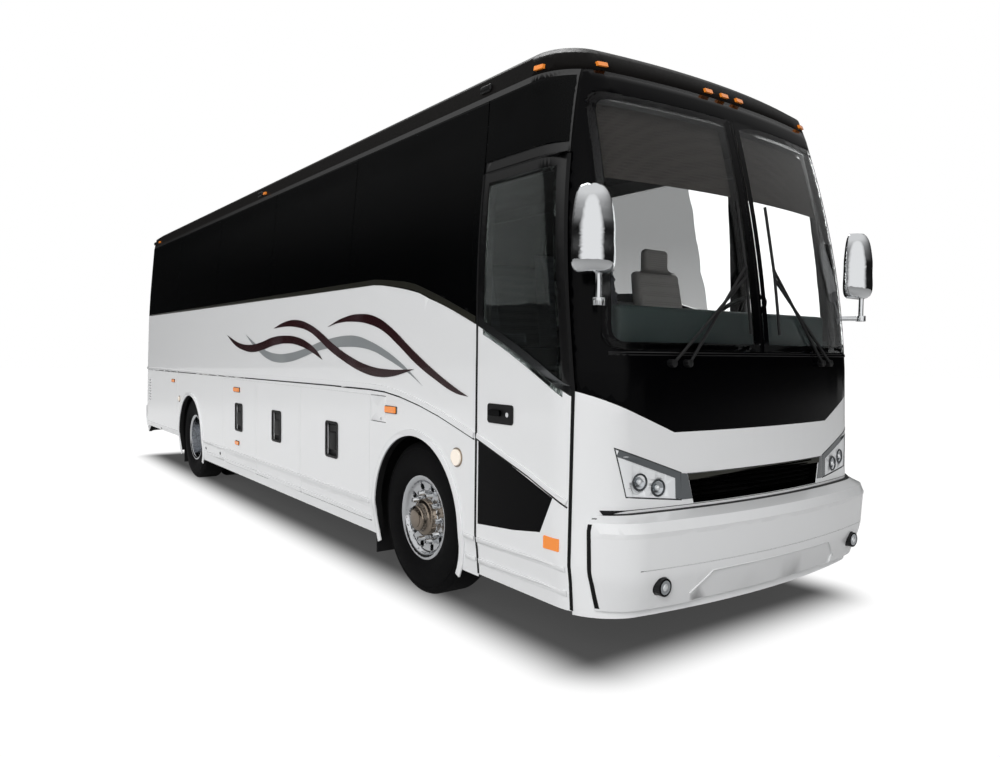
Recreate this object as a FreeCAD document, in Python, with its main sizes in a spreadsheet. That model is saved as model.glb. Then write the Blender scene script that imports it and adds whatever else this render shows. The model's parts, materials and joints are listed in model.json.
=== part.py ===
"""Intercity coach bus, two axles, built from separate panels, glass, running gear, doors and lids.

Frame: +X towards the front of the bus, +Y to its left, +Z up. The origin is on the ground, under
the middle of the overall length and width. All lengths are in millimetres.
"""
import FreeCAD, Part
import math
import os

import Sketcher
from FreeCAD import Placement, Rotation, Vector

os.makedirs("parts", exist_ok=True)
doc = FreeCAD.newDocument("CoachBus")

# Driving dimensions
SIZES = {
    # Whole vehicle
    "overall_length": 10700,
    "overall_width": 2590,
    "overall_height": 3490,
    "wheelbase": 5810,
    "front_overhang": 2030,
    "skirt_height": 303,
    # Body outline
    "bumper_reach": 120,
    "rear_bumper_reach": 50,
    "front_corner_radius": 340,
    "rear_corner_radius": 220,
    "front_crown_radius": 5600,
    "rear_crown_radius": 9000,
    "brow_length": 930,
    "knee_height": 1600,
    "knee_setback": 40,
    "brow_height": 3150,
    "screen_lean": 285,
    "screen_bulge": 45,
    "rear_waist_setback": 85,
    "rear_belt_setback": 185,
    "rear_roof_setback": 205,
    "crease_low_height": 490,
    "crease_high_height": 560,
    "crease_inset": 14,
    "skirt_inset": 30,
    "tumble_height": 2100,
    "tumble": 75,
    "cant_height": 3200,
    "wall_thickness": 50,
    # Lines on the sides
    "belt_height": 2180,
    "belt_bend_x": 2750,
    "belt_knee_x": 3500,
    "belt_knee_drop": 138,
    "belt_mid_x": 4150,
    "belt_mid_drop": 356,
    "belt_end_x": 4900,
    "belt_end_drop": 715,
    "waist_height": 1390,
    "roof_seam_height": 3250,
    "glass_top_height": 3215,
    "glass_thickness": 8,
    "window_frame": 70,
    "pane_gap": 8,
    "window_corner": 60,
    # Body seams along the length
    "rear_seam_x": -5000,
    "rear_pane_x": -4950,
    "door_rear_x": 4075,
    "door_front_x": 4920,
    "post_knee_height": 1500,
    "post_top_x": 4735,
    "door_top_height": 2765,
    "door_bottom_height": 320,
    "panel_gap": 6,
    # Mask, windscreen and front panel, seen from the front
    "mask_half_width": 734,
    "mask_bottom_height": 1266,
    "mask_corner_height": 1505,
    "screen_bottom_height": 1705,
    "screen_top_height": 3125,
    "screen_bottom_half": 1165,
    "screen_top_half": 1090,
    "screen_corner": 90,
    "centre_post": 46,
    "screen_gap": 6,
    "grille_top_height": 1035,
    "grille_bottom_height": 872,
    "grille_half_top": 640,
    "grille_half_bottom": 600,
    "grille_depth": 45,
    "grille_frame": 14,
    "slat_thickness": 7,
    "slat_depth": 28,
    "lamp_inner_y": 690,
    "lamp_outer_y": 1110,
    "lamp_foot_y": 1052,
    "lamp_inner_top": 1045,
    "lamp_inner_bottom": 898,
    "lamp_outer_top": 1195,
    "lamp_outer_bottom": 938,
    "lamp_depth": 42,
    "lamp_radius": 46,
    "lamp_gap": 4,
    # Front and rear bumpers
    "bumper_bottom_height": 352,
    "bumper_crease_height": 560,
    "bumper_brow_height": 772,
    "bumper_top_height": 850,
    "bumper_start_x": 5045,
    "bumper_wall": 30,
    "bumper_lower_inset": 55,
    "bumper_brow_inset": 6,
    "bumper_relief": 7,
    "relief_half_low": 690,
    "relief_half_high": 555,
    "relief_height": 522,
    "fog_radius": 48,
    "fog_y": 915,
    "fog_height": 478,
    "rear_bumper_bottom": 380,
    "rear_bumper_top": 800,
    "rear_bumper_start_x": -5120,
    # Wheels and tyres
    "tyre_diameter": 1056,
    "tyre_width": 300,
    "rim_width": 252,
    "rim_radius": 292,
    "bead_radius": 272,
    "barrel_thickness": 20,
    "disc_thickness": 24,
    "disc_offset": 62,
    "hub_radius": 128,
    "hub_reach": 100,
    "disc_flat_radius": 198,
    "twin_disc_reach": 96,
    "hub_bore": 52,
    "hand_hole_radius": 23,
    "hand_hole_circle": 214,
    "nut_radius": 17,
    "nut_circle": 167.5,
    "nut_reach": 42,
    "nut_count": 10,
    "front_wheel_inset": 200,
    "rear_wheel_inset": 200,
    "twin_spacing": 350,
    "front_arch_radius": 575,
    "rear_arch_radius": 548,
    "housing_thickness": 10,
    "front_housing_half": 695,
    "front_housing_inner_y": 505,
    "rear_housing_half": 610,
    "rear_housing_inner_y": 555,
    "housing_height": 1112,
    # Axles and knuckles
    "kingpin_offset": 222,
    "kingpin_radius": 19.5,
    "kingpin_clearance": 0.5,
    "eye_radius": 40,
    "eye_height": 100,
    "ear_height": 62,
    "ear_gap": 2,
    "knuckle_plate": 36,
    "knuckle_plate_gap": 8,
    "spindle_radius": 50,
    "spindle_clearance": 0.3,
    "front_beam_drop": 120,
    "front_beam_half": 560,
    "front_beam_height": 100,
    "front_beam_width": 96,
    "bellows_radius": 105,
    "bellows_waist": 14,
    "axle_tube_radius": 88,
    "differential_radius": 215,
    "differential_half": 240,
    # Chassis and floor
    "front_rail_y": 400,
    "rear_rail_y": 455,
    "rail_width": 80,
    "rail_height": 180,
    "front_rail_bottom": 640,
    "rear_rail_bottom": 745,
    "crossmember_width": 90,
    "tow_bore_radius": 20,
    "floor_height": 1380,
    "floor_thickness": 50,
    "floor_front_x": 3600,
    "cab_floor_height": 1165,
    "cab_floor_thickness": 40,
    "cab_front_x": 4860,
    "aisle_y": -400,
    "step_count": 3,
    "step_bottom_height": 400,
    "step_plate": 30,
    "trim_gap": 1,
    # Luggage bay
    "bay_rear_x": -1045,
    "bay_front_x": 2605,
    "bay_floor_height": 420,
    "bay_plate": 40,
    "bay_door_rear_x": -1040,
    "bay_seam_one_x": 70,
    "bay_seam_two_x": 1260,
    "bay_door_front_x": 2650,
    "bay_door_bottom": 392,
    "bay_door_top": 1355,
    "bay_door_thickness": 40,
    "latch_width": 230,
    "latch_height": 290,
    "latch_bottom": 800,
    "latch_depth": 22,
    "paddle_width": 120,
    "paddle_depth": 12,
    # Filler flap, rear flaps and engine lid
    "filler_front_x": 2900,
    "filler_bottom": 1165,
    "flap_front_x": -3125,
    "flap_rear_x": -4960,
    "flap_bottom": 480,
    "louvre_count": 8,
    "louvre_width": 150,
    "louvre_height": 16,
    "louvre_depth": 12,
    "louvre_bottom": 890,
    "louvre_top": 1230,
    "lid_half_width": 880,
    "lid_bottom": 860,
    "lid_top": 2040,
    "rear_window_half": 900,
    "rear_window_bottom": 2230,
    "rear_window_top": 3080,
    # Entrance door
    "arm_radius": 17,
    "arm_length": 600,
    "arm_post_x": 4835,
    "arm_post_y": -1100,
    "arm_low_height": 1240,
    "arm_high_height": 1600,
    "arm_pin_radius": 10,
    "arm_boss_radius": 22,
    "arm_boss_height": 40,
    "door_frame": 62,
    "low_glass_top": 1150,
    "low_glass_bottom": 640,
    # Cab
    "engine_height": 740,
    "engine_bottom": 560,
    "dash_top_height": 1800,
    "dash_depth": 330,
    "wheel_ring_radius": 225,
    "wheel_grip_radius": 15,
    "wheel_centre_x": 4560,
    "wheel_centre_y": 560,
    "wheel_centre_height": 1950,
    "column_radius": 32,
    "driver_seat_x": 3860,
    "driver_seat_width": 480,
    "cushion_height": 460,
    "cushion_thickness": 110,
    "cushion_length": 470,
    "seat_back_height": 690,
    "seat_back_thickness": 110,
    # Passenger seats
    "seat_row_count": 9,
    "seat_pitch": 860,
    "first_row_x": 3250,
    "seat_pair_width": 900,
    "seat_aisle_half": 250,
    "seat_leg_width": 50,
    # Mirrors, wipers, lamps and flaps
    "mirror_x": 5090,
    "mirror_y": 1255,
    "mirror_bottom": 2090,
    "mirror_height": 450,
    "mirror_width": 265,
    "mirror_depth": 125,
    "mirror_arm_radius": 16,
    "mirror_base_height": 1950,
    "wiper_y": 650,
    "wiper_height": 1640,
    "wiper_blade": 780,
    "wiper_reach_y": 510,
    "wiper_reach_height": 560,
    "wiper_twin": 112,
    "wiper_tube": 9,
    "marker_width": 62,
    "marker_height": 24,
    "marker_depth": 16,
    "round_lamp_radius": 52,
    "round_lamp_x": 3865,
    "round_lamp_height": 1020,
    "side_lamp_width": 80,
    "side_lamp_height": 42,
    "rear_lamp_radius": 62,
    "rear_lamp_y": 1075,
    "rear_lamp_height": 1130,
    "rear_lamp_pitch": 150,
    "mud_flap_width": 330,
    "mud_flap_thickness": 10,
    "mud_flap_bottom": 130,
    # Cutting and seating
    "overrun": 60,
    "seat_gap": 0.3,
}

# Shares of a size, and the powers of the body's rounded outlines
SIDE_CANT_POWER = 4.0
BROW_POWER = 2.3
TUMBLE_POWER = 1.3
DOME_ANGLE_DEGREES = (16, 32, 48, 64, 78, 86)
UPPER_LEVEL_SHARES = (0.0, 0.16, 0.36, 0.66, 1.0)
RIM_LIP_SHARE = 0.6
MIRROR_LEVEL_SHARES = ((0.0, 0.62), (0.05, 0.88), (0.22, 1.0), (0.55, 0.97), (0.84, 0.82), (0.95, 0.66),
                       (1.0, 0.5))

sheet = doc.addObject("Spreadsheet::Sheet", "Sizes")
for row, (alias, value) in enumerate(SIZES.items(), start=1):
    sheet.set("A%d" % row, alias)
    sheet.set("B%d" % row, str(value))
    sheet.setAlias("B%d" % row, alias)
doc.recompute()


class Size(float):
    """A length that keeps the spreadsheet formula it comes from."""

    def __new__(cls, value, text):
        size = float.__new__(cls, value)
        size.text = text
        return size

    def __add__(self, other):
        return Size(float(self) + float(other), "(%s + %s)" % (self.text, formula(other)))

    def __radd__(self, other):
        return Size(float(other) + float(self), "(%s + %s)" % (formula(other), self.text))

    def __sub__(self, other):
        return Size(float(self) - float(other), "(%s - %s)" % (self.text, formula(other)))

    def __rsub__(self, other):
        return Size(float(other) - float(self), "(%s - %s)" % (formula(other), self.text))

    def __mul__(self, other):
        return Size(float(self) * float(other), "(%s * %s)" % (self.text, formula(other)))

    __rmul__ = __mul__

    def __truediv__(self, other):
        return Size(float(self) / float(other), "(%s / %s)" % (self.text, formula(other)))

    def __neg__(self):
        return Size(-float(self), "(0 - %s)" % self.text)


def formula(value):
    """Spreadsheet text of a size or of a plain number."""
    return value.text if isinstance(value, Size) else repr(float(value))


class Sheet:
    """Every cell of the sheet as an attribute."""

    def __getattr__(self, alias):
        return Size(float(sheet.get(alias)), "Sizes." + alias)


s = Sheet()
FRONT, REAR = 1, -1
LEFT, RIGHT = 1, -1
SIDE_NAMES = {LEFT: "left", RIGHT: "right"}
X_AXIS, Y_AXIS, Z_AXIS = Vector(1, 0, 0), Vector(0, 1, 0), Vector(0, 0, 1)
NODES = []

half_width = s.overall_width / 2
nose_x = s.overall_length / 2 - s.bumper_reach
tail_x = s.rear_bumper_reach - s.overall_length / 2
front_axle_x = s.overall_length / 2 - s.front_overhang
rear_axle_x = front_axle_x - s.wheelbase
axle_height = s.tyre_diameter / 2


# Plain shape helpers

def box(x0, x1, y0, y1, z0, z1):
    """Box between two corners."""
    return Part.makeBox(x1 - x0, y1 - y0, z1 - z0, Vector(x0, y0, z0))


def rod(start, end, radius):
    """Cylinder from one point to another."""
    axis = end - start
    return Part.makeCylinder(radius, axis.Length, start, axis)


def fuse(shapes):
    """One shape of many that touch."""
    first = shapes[0]
    return first.fuse(shapes[1:]).removeSplitter() if len(shapes) > 1 else first


def slab(points, direction):
    """Flat closed outline pushed out along a direction."""
    return Part.Face(Part.makePolygon(list(points) + [points[0]])).extrude(direction)


def side_prism(points, y0, y1):
    """Outline given as x, z pairs, between two planes across the bus."""
    return slab([Vector(x, y0, z) for x, z in points], Vector(0, y1 - y0, 0))


def front_prism(points, x0, x1):
    """Outline given as y, z pairs, between two planes along the bus."""
    return slab([Vector(x0, y, z) for y, z in points], Vector(x1 - x0, 0, 0))


def rounded(shape, radius, direction):
    """Shape with the edges along one direction rounded."""
    edges = [edge for edge in shape.Edges if len(edge.Vertexes) == 2 and abs(
        (edge.Vertexes[1].Point - edge.Vertexes[0].Point).normalize().dot(direction)) > 1 - 1e-3]
    return shape.makeFillet(radius, edges)


def mirrored(shape):
    """Shape on the other side of the bus."""
    return shape.mirror(Vector(0, 0, 0), Y_AXIS)


def feature(label, shape):
    """Sub-part whose shape is worked out here from the sheet's sizes."""
    item = doc.addObject("Part::Feature", label)
    item.Label = label
    item.Shape = shape
    NODES.append(item)
    return item


# Body envelope

def front_at(z):
    """How far forward the front face lies at a height, on the centre line."""
    if z <= s.knee_height:
        rise = (z - s.skirt_height) / (s.knee_height - s.skirt_height)
        return nose_x - s.knee_setback * rise
    rise = (z - s.knee_height) / (s.brow_height - s.knee_height)
    bulge = s.screen_bulge * 4 * rise * (1 - rise)
    return nose_x - s.knee_setback - s.screen_lean * rise + bulge


def rear_at(z):
    """How far back the rear face lies at a height, on the centre line."""
    levels = ((s.skirt_height, 0), (s.waist_height, s.rear_waist_setback),
              (s.belt_height, s.rear_belt_setback), (s.cant_height, s.rear_roof_setback))
    for (z0, back0), (z1, back1) in zip(levels, levels[1:]):
        if z <= z1:
            share = max(0.0, (z - z0) / (z1 - z0))
            return tail_x + back0 + (back1 - back0) * share
    return tail_x + s.rear_roof_setback


def half_width_at(z):
    """Half the body's width at a height, without the roof's rounding."""
    if z < s.crease_low_height:
        share = (s.crease_low_height - z) / (s.crease_low_height - s.skirt_height)
        return half_width - s.crease_inset - (s.skirt_inset - s.crease_inset) * min(share, 1.0)
    if z < s.crease_high_height:
        share = (s.crease_high_height - z) / (s.crease_high_height - s.crease_low_height)
        return half_width - s.crease_inset * share
    share = max(0.0, z - s.tumble_height) / (s.cant_height - s.tumble_height)
    return half_width - s.tumble * share ** TUMBLE_POWER


def end_edges(z, half, reach, corner, crown, sign):
    """Rounded end of a plan section: corner arc, crowned face arc, corner arc, all tangent."""
    centre_x = reach - crown
    corner_x = centre_x + math.sqrt((crown - corner) ** 2 - (half - corner) ** 2)
    turn = math.atan2(half - corner, corner_x - centre_x)

    def at(x, y):
        return Vector(sign * x, y, z)

    meet_x, meet_y = centre_x + crown * math.cos(turn), crown * math.sin(turn)
    middle = (math.pi / 2 + turn) / 2
    bend_x, bend_y = corner_x + corner * math.cos(middle), half - corner + corner * math.sin(middle)
    right = Part.Arc(at(corner_x, -half), at(bend_x, -bend_y), at(meet_x, -meet_y)).toShape()
    face = Part.Arc(at(meet_x, -meet_y), at(reach, 0), at(meet_x, meet_y)).toShape()
    left = Part.Arc(at(meet_x, meet_y), at(bend_x, bend_y), at(corner_x, half)).toShape()
    return [right, face, left], at(corner_x, -half), at(corner_x, half)


def section(z, half, front, front_corner, rear, rear_corner):
    """Closed plan section of the body at one height."""
    nose, nose_right, nose_left = end_edges(z, half, front, front_corner, s.front_crown_radius, FRONT)
    tail, tail_right, tail_left = end_edges(z, half, -rear, rear_corner, s.rear_crown_radius, REAR)
    edges = nose + [Part.makeLine(nose_left, tail_left)] + tail[::-1] + [Part.makeLine(tail_right, nose_right)]
    return Part.Wire(edges)


def envelope(inset, drop=0):
    """Solid of the whole body outline, set in by a wall and let down below the skirt."""

    def level(z, height, side_share=1.0, end_share=1.0):
        half = (half_width_at(height) - inset) * side_share
        nose_start = nose_x - s.brow_length
        tail_start = tail_x + s.brow_length
        front = nose_start + (front_at(height) - inset - nose_start) * end_share
        rear = tail_start - (tail_start - rear_at(height) - inset) * end_share
        corner_share = min(side_share, end_share)
        return section(z, half, front, (s.front_corner_radius - inset) * corner_share,
                       rear, (s.rear_corner_radius - inset) * corner_share)

    lower = [level(s.skirt_height - drop, s.skirt_height)]
    lower += [level(z, z) for z in (s.crease_low_height, s.crease_high_height, s.knee_height)]
    heights = [s.knee_height + (s.cant_height - s.knee_height) * share for share in UPPER_LEVEL_SHARES]
    upper = [level(z, z) for z in heights]
    dome = [upper[-1]]
    rise = s.overall_height - inset - s.cant_height
    for angle in DOME_ANGLE_DEGREES:
        turn = math.radians(angle)
        climb = math.sin(turn) ** (2 / SIDE_CANT_POWER)
        side_share = math.cos(turn) ** (2 / SIDE_CANT_POWER)
        end_share = (1 - climb ** BROW_POWER) ** (1 / BROW_POWER)
        dome.append(level(s.cant_height + rise * climb, s.cant_height, side_share, end_share))
    stages = [Part.makeLoft(lower, True, True), Part.makeLoft(upper, True, False), Part.makeLoft(dome, True, True)]
    return stages[0].fuse(stages[1:])


outer = envelope(0)
inner = envelope(s.wall_thickness, s.overrun)
shell = outer.cut(inner)
glass_inner = envelope(s.glass_thickness, s.overrun)
skin = outer.cut(glass_inner)
room = envelope(s.wall_thickness + s.trim_gap, s.overrun)
far = s.overall_length


def side_range(side, depth=0):
    """Planes across one side of the bus, from inside the wall to beyond the outside."""
    near, away = half_width - s.wall_thickness * 4 + depth, half_width + s.overrun
    return (near, away) if side == LEFT else (-away, -near)


def above_belt(lift=0):
    """Everything above the belt line, which drops towards the front."""
    start = Vector(-far, 0, s.belt_height + lift)
    bend = Vector(s.belt_bend_x, 0, s.belt_height + lift)
    knee = Vector(s.belt_knee_x, 0, s.belt_height - s.belt_knee_drop + lift)
    middle = Vector(s.belt_mid_x, 0, s.belt_height - s.belt_mid_drop + lift)
    end = Vector(s.belt_end_x, 0, s.belt_height - s.belt_end_drop + lift)
    turn = bend.sub(Vector((bend.x - knee.x) * 0.5, 0, (bend.z - knee.z) * 0.27))
    top = far
    edges = [Part.makeLine(start, bend), Part.Arc(bend, turn, knee).toShape(),
             Part.Arc(knee, middle, end).toShape(),
             Part.makeLine(end, Vector(end.x, 0, top)),
             Part.makeLine(Vector(end.x, 0, top), Vector(start.x, 0, top)),
             Part.makeLine(Vector(start.x, 0, top), start)]
    face = Part.Face(Part.Wire(edges))
    face.translate(Vector(0, -far, 0))
    return face.extrude(Vector(0, 2 * far, 0))


glazed = above_belt()
glazed_inner = above_belt(s.window_frame)


def pane_spans():
    """Rear and front ends of each side pane, from the rear seam to the doorway."""
    pane_count = 5
    pitch = (s.door_rear_x - s.rear_pane_x) / pane_count
    return [(s.rear_pane_x + pitch * k + s.pane_gap / 2, s.rear_pane_x + pitch * (k + 1) - s.pane_gap / 2)
            for k in range(pane_count)]


def arch_cutter(axle_x, radius, side):
    """Round wheel arch, open to the ground."""
    y0, y1 = side_range(side)
    disc = Part.makeCylinder(radius, y1 - y0, Vector(axle_x, y0, axle_height), Y_AXIS)
    return disc.fuse(box(axle_x - radius, axle_x + radius, y0, y1, 0, axle_height))


def bay_spans():
    """Rear and front seams of each luggage door."""
    seams = (s.bay_door_rear_x, s.bay_seam_one_x, s.bay_seam_two_x, s.bay_door_front_x)
    return list(zip(seams, seams[1:]))


def between_seams(rear_x, side, low, high, margin=0, reach=0):
    """Region of one side from a plane across the bus to the leaning seam of the front corner post."""
    lean = (s.door_front_x - s.post_top_x) / (s.roof_seam_height - s.post_knee_height)
    front_low, front_high = s.door_front_x - margin, s.door_front_x - margin - lean * (high - s.post_knee_height)
    points = [(rear_x, low), (front_low, low)]
    if low < s.post_knee_height:
        points.append((front_low, s.post_knee_height))
    else:
        points[1] = (s.door_front_x - margin - lean * (low - s.post_knee_height), low)
    points += [(front_high, high), (rear_x, high)]
    y0, y1 = side_range(side, -reach)
    return side_prism(points, y0, y1)


def ahead_of_post():
    """Region ahead of the seams of the front corner posts."""
    points = [(s.door_front_x, 0), (far, 0), (far, s.roof_seam_height), (s.post_top_x, s.roof_seam_height),
              (s.door_front_x, s.post_knee_height)]
    return side_prism(points, -far, far)


def doorway_cutter():
    """Opening of the entrance, from the skirt to the top of the door."""
    return between_seams(s.door_rear_x, RIGHT, 0, s.door_top_height + s.panel_gap, 0, s.wall_thickness * 4)


# Side walls with their window, door, bay and arch openings

def window_layout(side):
    """Spans and heights of the glazed panes on one side, past the doorway too."""
    spans = [(x0, x1, 0, s.glass_top_height) for x0, x1 in pane_spans()]
    low = s.door_top_height + s.window_frame if side == RIGHT else 0
    spans.append((s.door_rear_x + s.pane_gap / 2, None, low, s.glass_top_height))
    return spans


def pane_region(side, x0, x1, low, high, margin=0):
    """Region of one pane, which ends at the corner post where it has no front edge of its own."""
    if x1 is None:
        return between_seams(x0 + margin, side, low + margin / 2, high - margin, s.pane_gap + margin)
    y0, y1 = side_range(side)
    return box(x0 + margin, x1 - margin, y0, y1, low + margin / 2, high - margin)


def side_wall(side):
    """Framed side wall of one side, from the skirt to the roof seam."""
    y0, y1 = side_range(side)
    wall = shell.common(between_seams(s.rear_seam_x, side, 0, s.roof_seam_height, 0, half_width * 0.5))
    cutters = [arch_cutter(front_axle_x, s.front_arch_radius, side),
               arch_cutter(rear_axle_x, s.rear_arch_radius, side),
               box(s.flap_rear_x, s.flap_front_x, y0, y1, s.flap_bottom, s.bay_door_top + s.panel_gap / 2),
               box(s.rear_seam_x - s.overrun, s.flap_front_x, y0, y1, 0, s.flap_bottom)]
    cutters += [box(x0 + s.panel_gap, x1, y0, y1, s.bay_door_bottom - s.panel_gap,
                    s.bay_door_top + s.panel_gap / 2) for x0, x1 in bay_spans()]
    if side == RIGHT:
        cutters.append(doorway_cutter())
        cutters.append(box(s.bay_door_front_x + s.panel_gap * 2, s.filler_front_x + s.panel_gap, y0, y1,
                           s.filler_bottom - s.panel_gap, s.bay_door_top + s.panel_gap / 2))
    wall = wall.cut(cutters)
    recess = skin.common(glazed).common(between_seams(s.rear_pane_x, side, 0, s.glass_top_height, s.pane_gap))
    wall = wall.cut(recess)
    for x0, x1, low, high in window_layout(side):
        opening = pane_region(side, x0, x1, low, high, s.window_frame)
        wall = wall.cut(rounded(opening, s.window_corner, Y_AXIS).common(glazed_inner))
    feature("side_wall_" + SIDE_NAMES[side], wall)


side_wall(RIGHT)
side_wall(LEFT)


def window_glass():
    """Bonded side panes, the pane above the entrance and the rear window."""
    panes = []
    for side in (RIGHT, LEFT):
        band = skin.common(glazed).common(between_seams(s.rear_pane_x, side, 0, s.glass_top_height, s.pane_gap))
        for x0, x1, low, high in window_layout(side):
            panes.append(band.common(pane_region(side, x0, x1, low, high)))
    rear = rear_window_prism(0).common(skin)
    feature("window_glass", Part.makeCompound([solid for pane in panes + [rear] for solid in pane.Solids]))


def rear_window_prism(margin):
    """Outline of the rear window, set in by a margin."""
    half = s.rear_window_half - margin
    pane = box(-far, s.rear_seam_x, -half, half, s.rear_window_bottom + margin, s.rear_window_top - margin)
    return rounded(pane, s.window_corner, X_AXIS)


window_glass()

# Roof with the brow over the windscreen
feature("roof_panel", shell.common(box(-far, far, -far, far, s.roof_seam_height, far)))


# Rear wall, rear bumper and lid openings

def lid_prism(margin):
    """Outline of the engine lid, set in by a margin."""
    half = s.lid_half_width - margin
    return box(-far, s.rear_seam_x, -half, half, s.lid_bottom + margin, s.lid_top - margin)


def rear_lamp_places():
    """Centres of the round tail lamps, y and z."""
    return [(side * s.rear_lamp_y, s.rear_lamp_height + s.rear_lamp_pitch * k)
            for side in (RIGHT, LEFT) for k in range(3)]


def rear_wall():
    """Rear end panel round the window, the lid and the lamps."""
    wall = shell.common(box(-far, s.rear_seam_x, -far, far, 0, s.roof_seam_height))
    wall = wall.cut(rear_window_prism(0).common(skin)).cut(rear_window_prism(s.window_frame))
    wall = wall.cut(lid_prism(0))
    wall = wall.cut(box(-far, s.rear_seam_x, -far, far, 0, s.rear_bumper_bottom))
    feature("rear_wall", wall)


def bumper_solid(levels, start_x, sign):
    """Bumper bar lofted through plan sections, each further out than the body by its own reach."""
    wires = []
    for z, reach, half in levels:
        base = nose_x if sign == FRONT else -tail_x
        corner = s.front_corner_radius if sign == FRONT else s.rear_corner_radius
        crown = s.front_crown_radius if sign == FRONT else s.rear_crown_radius
        edges, right, left = end_edges(z, half, base + reach, corner, crown, sign)
        wires.append(Part.Wire(edges + [Part.makeLine(left, right)]))
    bar = Part.makeLoft(wires, True, True)
    if sign == FRONT:
        return bar.common(box(start_x, far, -far, far, 0, far))
    return bar.common(box(-far, start_x, -far, far, 0, far))


def front_bumper():
    """Front bumper shell with a soft brow, a crease and two fog lamp holes."""
    half = half_width - s.trim_gap

    def levels(inset):
        return [(s.bumper_bottom_height + inset, s.bumper_reach - s.bumper_lower_inset * 1.4 - inset,
                 half - s.skirt_inset - inset),
                (s.bumper_crease_height - s.bumper_lower_inset, s.bumper_reach - s.bumper_lower_inset / 2 - inset,
                 half - s.crease_inset - inset),
                (s.bumper_crease_height, s.bumper_reach - s.bumper_brow_inset * 3 - inset, half - inset),
                (s.bumper_brow_height - s.bumper_lower_inset / 2, s.bumper_reach - s.bumper_brow_inset - inset,
                 half - inset),
                (s.bumper_brow_height, s.bumper_reach - inset, half - inset),
                (s.bumper_top_height - s.bumper_lower_inset / 2, s.bumper_reach - s.bumper_brow_inset * 4 - inset,
                 half - inset),
                (s.bumper_top_height - inset, s.bumper_brow_inset * 2 - inset, half - inset)]

    bar = bumper_solid(levels(0), s.bumper_start_x, FRONT)
    relief = front_prism([(-s.relief_half_low, 0), (s.relief_half_low, 0),
                          (s.relief_half_low, s.bumper_bottom_height + s.bumper_lower_inset),
                          (s.relief_half_high, s.relief_height), (-s.relief_half_high, s.relief_height),
                          (-s.relief_half_low, s.bumper_bottom_height + s.bumper_lower_inset)], nose_x, far)
    bar = bar.cut(relief.cut(bumper_solid(levels(s.bumper_relief), s.bumper_start_x, FRONT)))
    hollow = bumper_solid(levels(s.bumper_wall), s.bumper_start_x - s.overrun, FRONT)
    bar = bar.cut(hollow).cut(outer)
    for side in (LEFT, RIGHT):
        hole = Part.makeCylinder(s.fog_radius + s.lamp_gap, far, Vector(0, side * s.fog_y, s.fog_height), X_AXIS)
        bar = bar.cut(hole)
    feature("front_bumper", max(bar.Solids, key=lambda solid: solid.Volume))


def rear_bumper():
    """Rear bumper bar that wraps round both corners."""
    half = half_width - s.trim_gap

    def levels(inset):
        lip = s.bumper_lower_inset / 2
        return [(s.rear_bumper_bottom + inset, s.rear_bumper_reach - lip - inset, half - s.skirt_inset - inset),
                (s.crease_high_height, s.rear_bumper_reach - inset, half - inset),
                (s.rear_bumper_top - lip, s.rear_bumper_reach - inset, half - inset),
                (s.rear_bumper_top - inset, s.rear_bumper_reach - lip * 2 - inset, half - inset)]

    bar = bumper_solid(levels(0), s.rear_bumper_start_x, REAR)
    hollow = bumper_solid(levels(s.bumper_wall), s.rear_bumper_start_x + s.overrun, REAR)
    bar = bar.cut(hollow).cut(outer)
    feature("rear_bumper", max(bar.Solids, key=lambda solid: solid.Volume))


rear_wall()
front_bumper()
rear_bumper()


# Front: black mask with the windscreen aperture, panes, white lower panel

def mask_prism():
    """Everything above the mask's lower edge, seen from the front."""
    edge = half_width + s.overrun
    slope = (s.mask_corner_height - s.mask_bottom_height) / (half_width - s.mask_half_width)
    outside = s.mask_bottom_height + (edge - s.mask_half_width) * slope
    points = [(-edge, outside), (-s.mask_half_width, s.mask_bottom_height),
              (s.mask_half_width, s.mask_bottom_height), (edge, outside), (edge, far), (-edge, far)]
    return front_prism(points, 0, far)


def screen_prism(margin, split=0):
    """Windscreen aperture, set in by a margin, with a strip left out along the middle."""
    low, high = s.screen_bottom_height + margin, s.screen_top_height - margin
    low_half, high_half = s.screen_bottom_half - margin, s.screen_top_half - margin
    points = [(-low_half, low), (low_half, low), (high_half, high), (-high_half, high)]
    aperture = front_prism(points, s.post_top_x - s.wall_thickness, far)
    aperture = rounded(aperture, s.screen_corner - margin / 2, X_AXIS)
    if split:
        aperture = aperture.cut(box(0, far, -split / 2, split / 2, 0, far))
    return aperture


front_shell = shell.common(ahead_of_post())


def front_mask():
    """Black moulding round the windscreen: sill, corner posts, header and centre post."""
    mask = front_shell.common(mask_prism())
    ledge = s.window_frame / 2
    mask = mask.cut(skin.common(screen_prism(0, s.centre_post / 2)))
    mask = mask.cut(screen_prism(ledge, s.centre_post))
    feature("front_mask", mask)


def windscreen():
    """Two curved panes, one each side of the centre post."""
    panes = skin.common(screen_prism(s.screen_gap / 2, s.centre_post / 2 + s.screen_gap))
    feature("windscreen", Part.makeCompound(panes.Solids))


def lamp_points(margin):
    """Headlamp outline on the left, y and z, grown by a margin."""
    return [(s.lamp_inner_y - margin, s.lamp_inner_bottom - margin),
            (s.lamp_foot_y + margin, s.lamp_outer_bottom - margin),
            (s.lamp_outer_y + margin, s.lamp_outer_top + margin),
            (s.lamp_inner_y - margin, s.lamp_inner_top + margin)]


def grille_points(margin):
    """Grille outline, y and z, grown by a margin."""
    return [(-s.grille_half_bottom - margin, s.grille_bottom_height - margin),
            (s.grille_half_bottom + margin, s.grille_bottom_height - margin),
            (s.grille_half_top + margin, s.grille_top_height + margin),
            (-s.grille_half_top - margin, s.grille_top_height + margin)]


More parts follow.
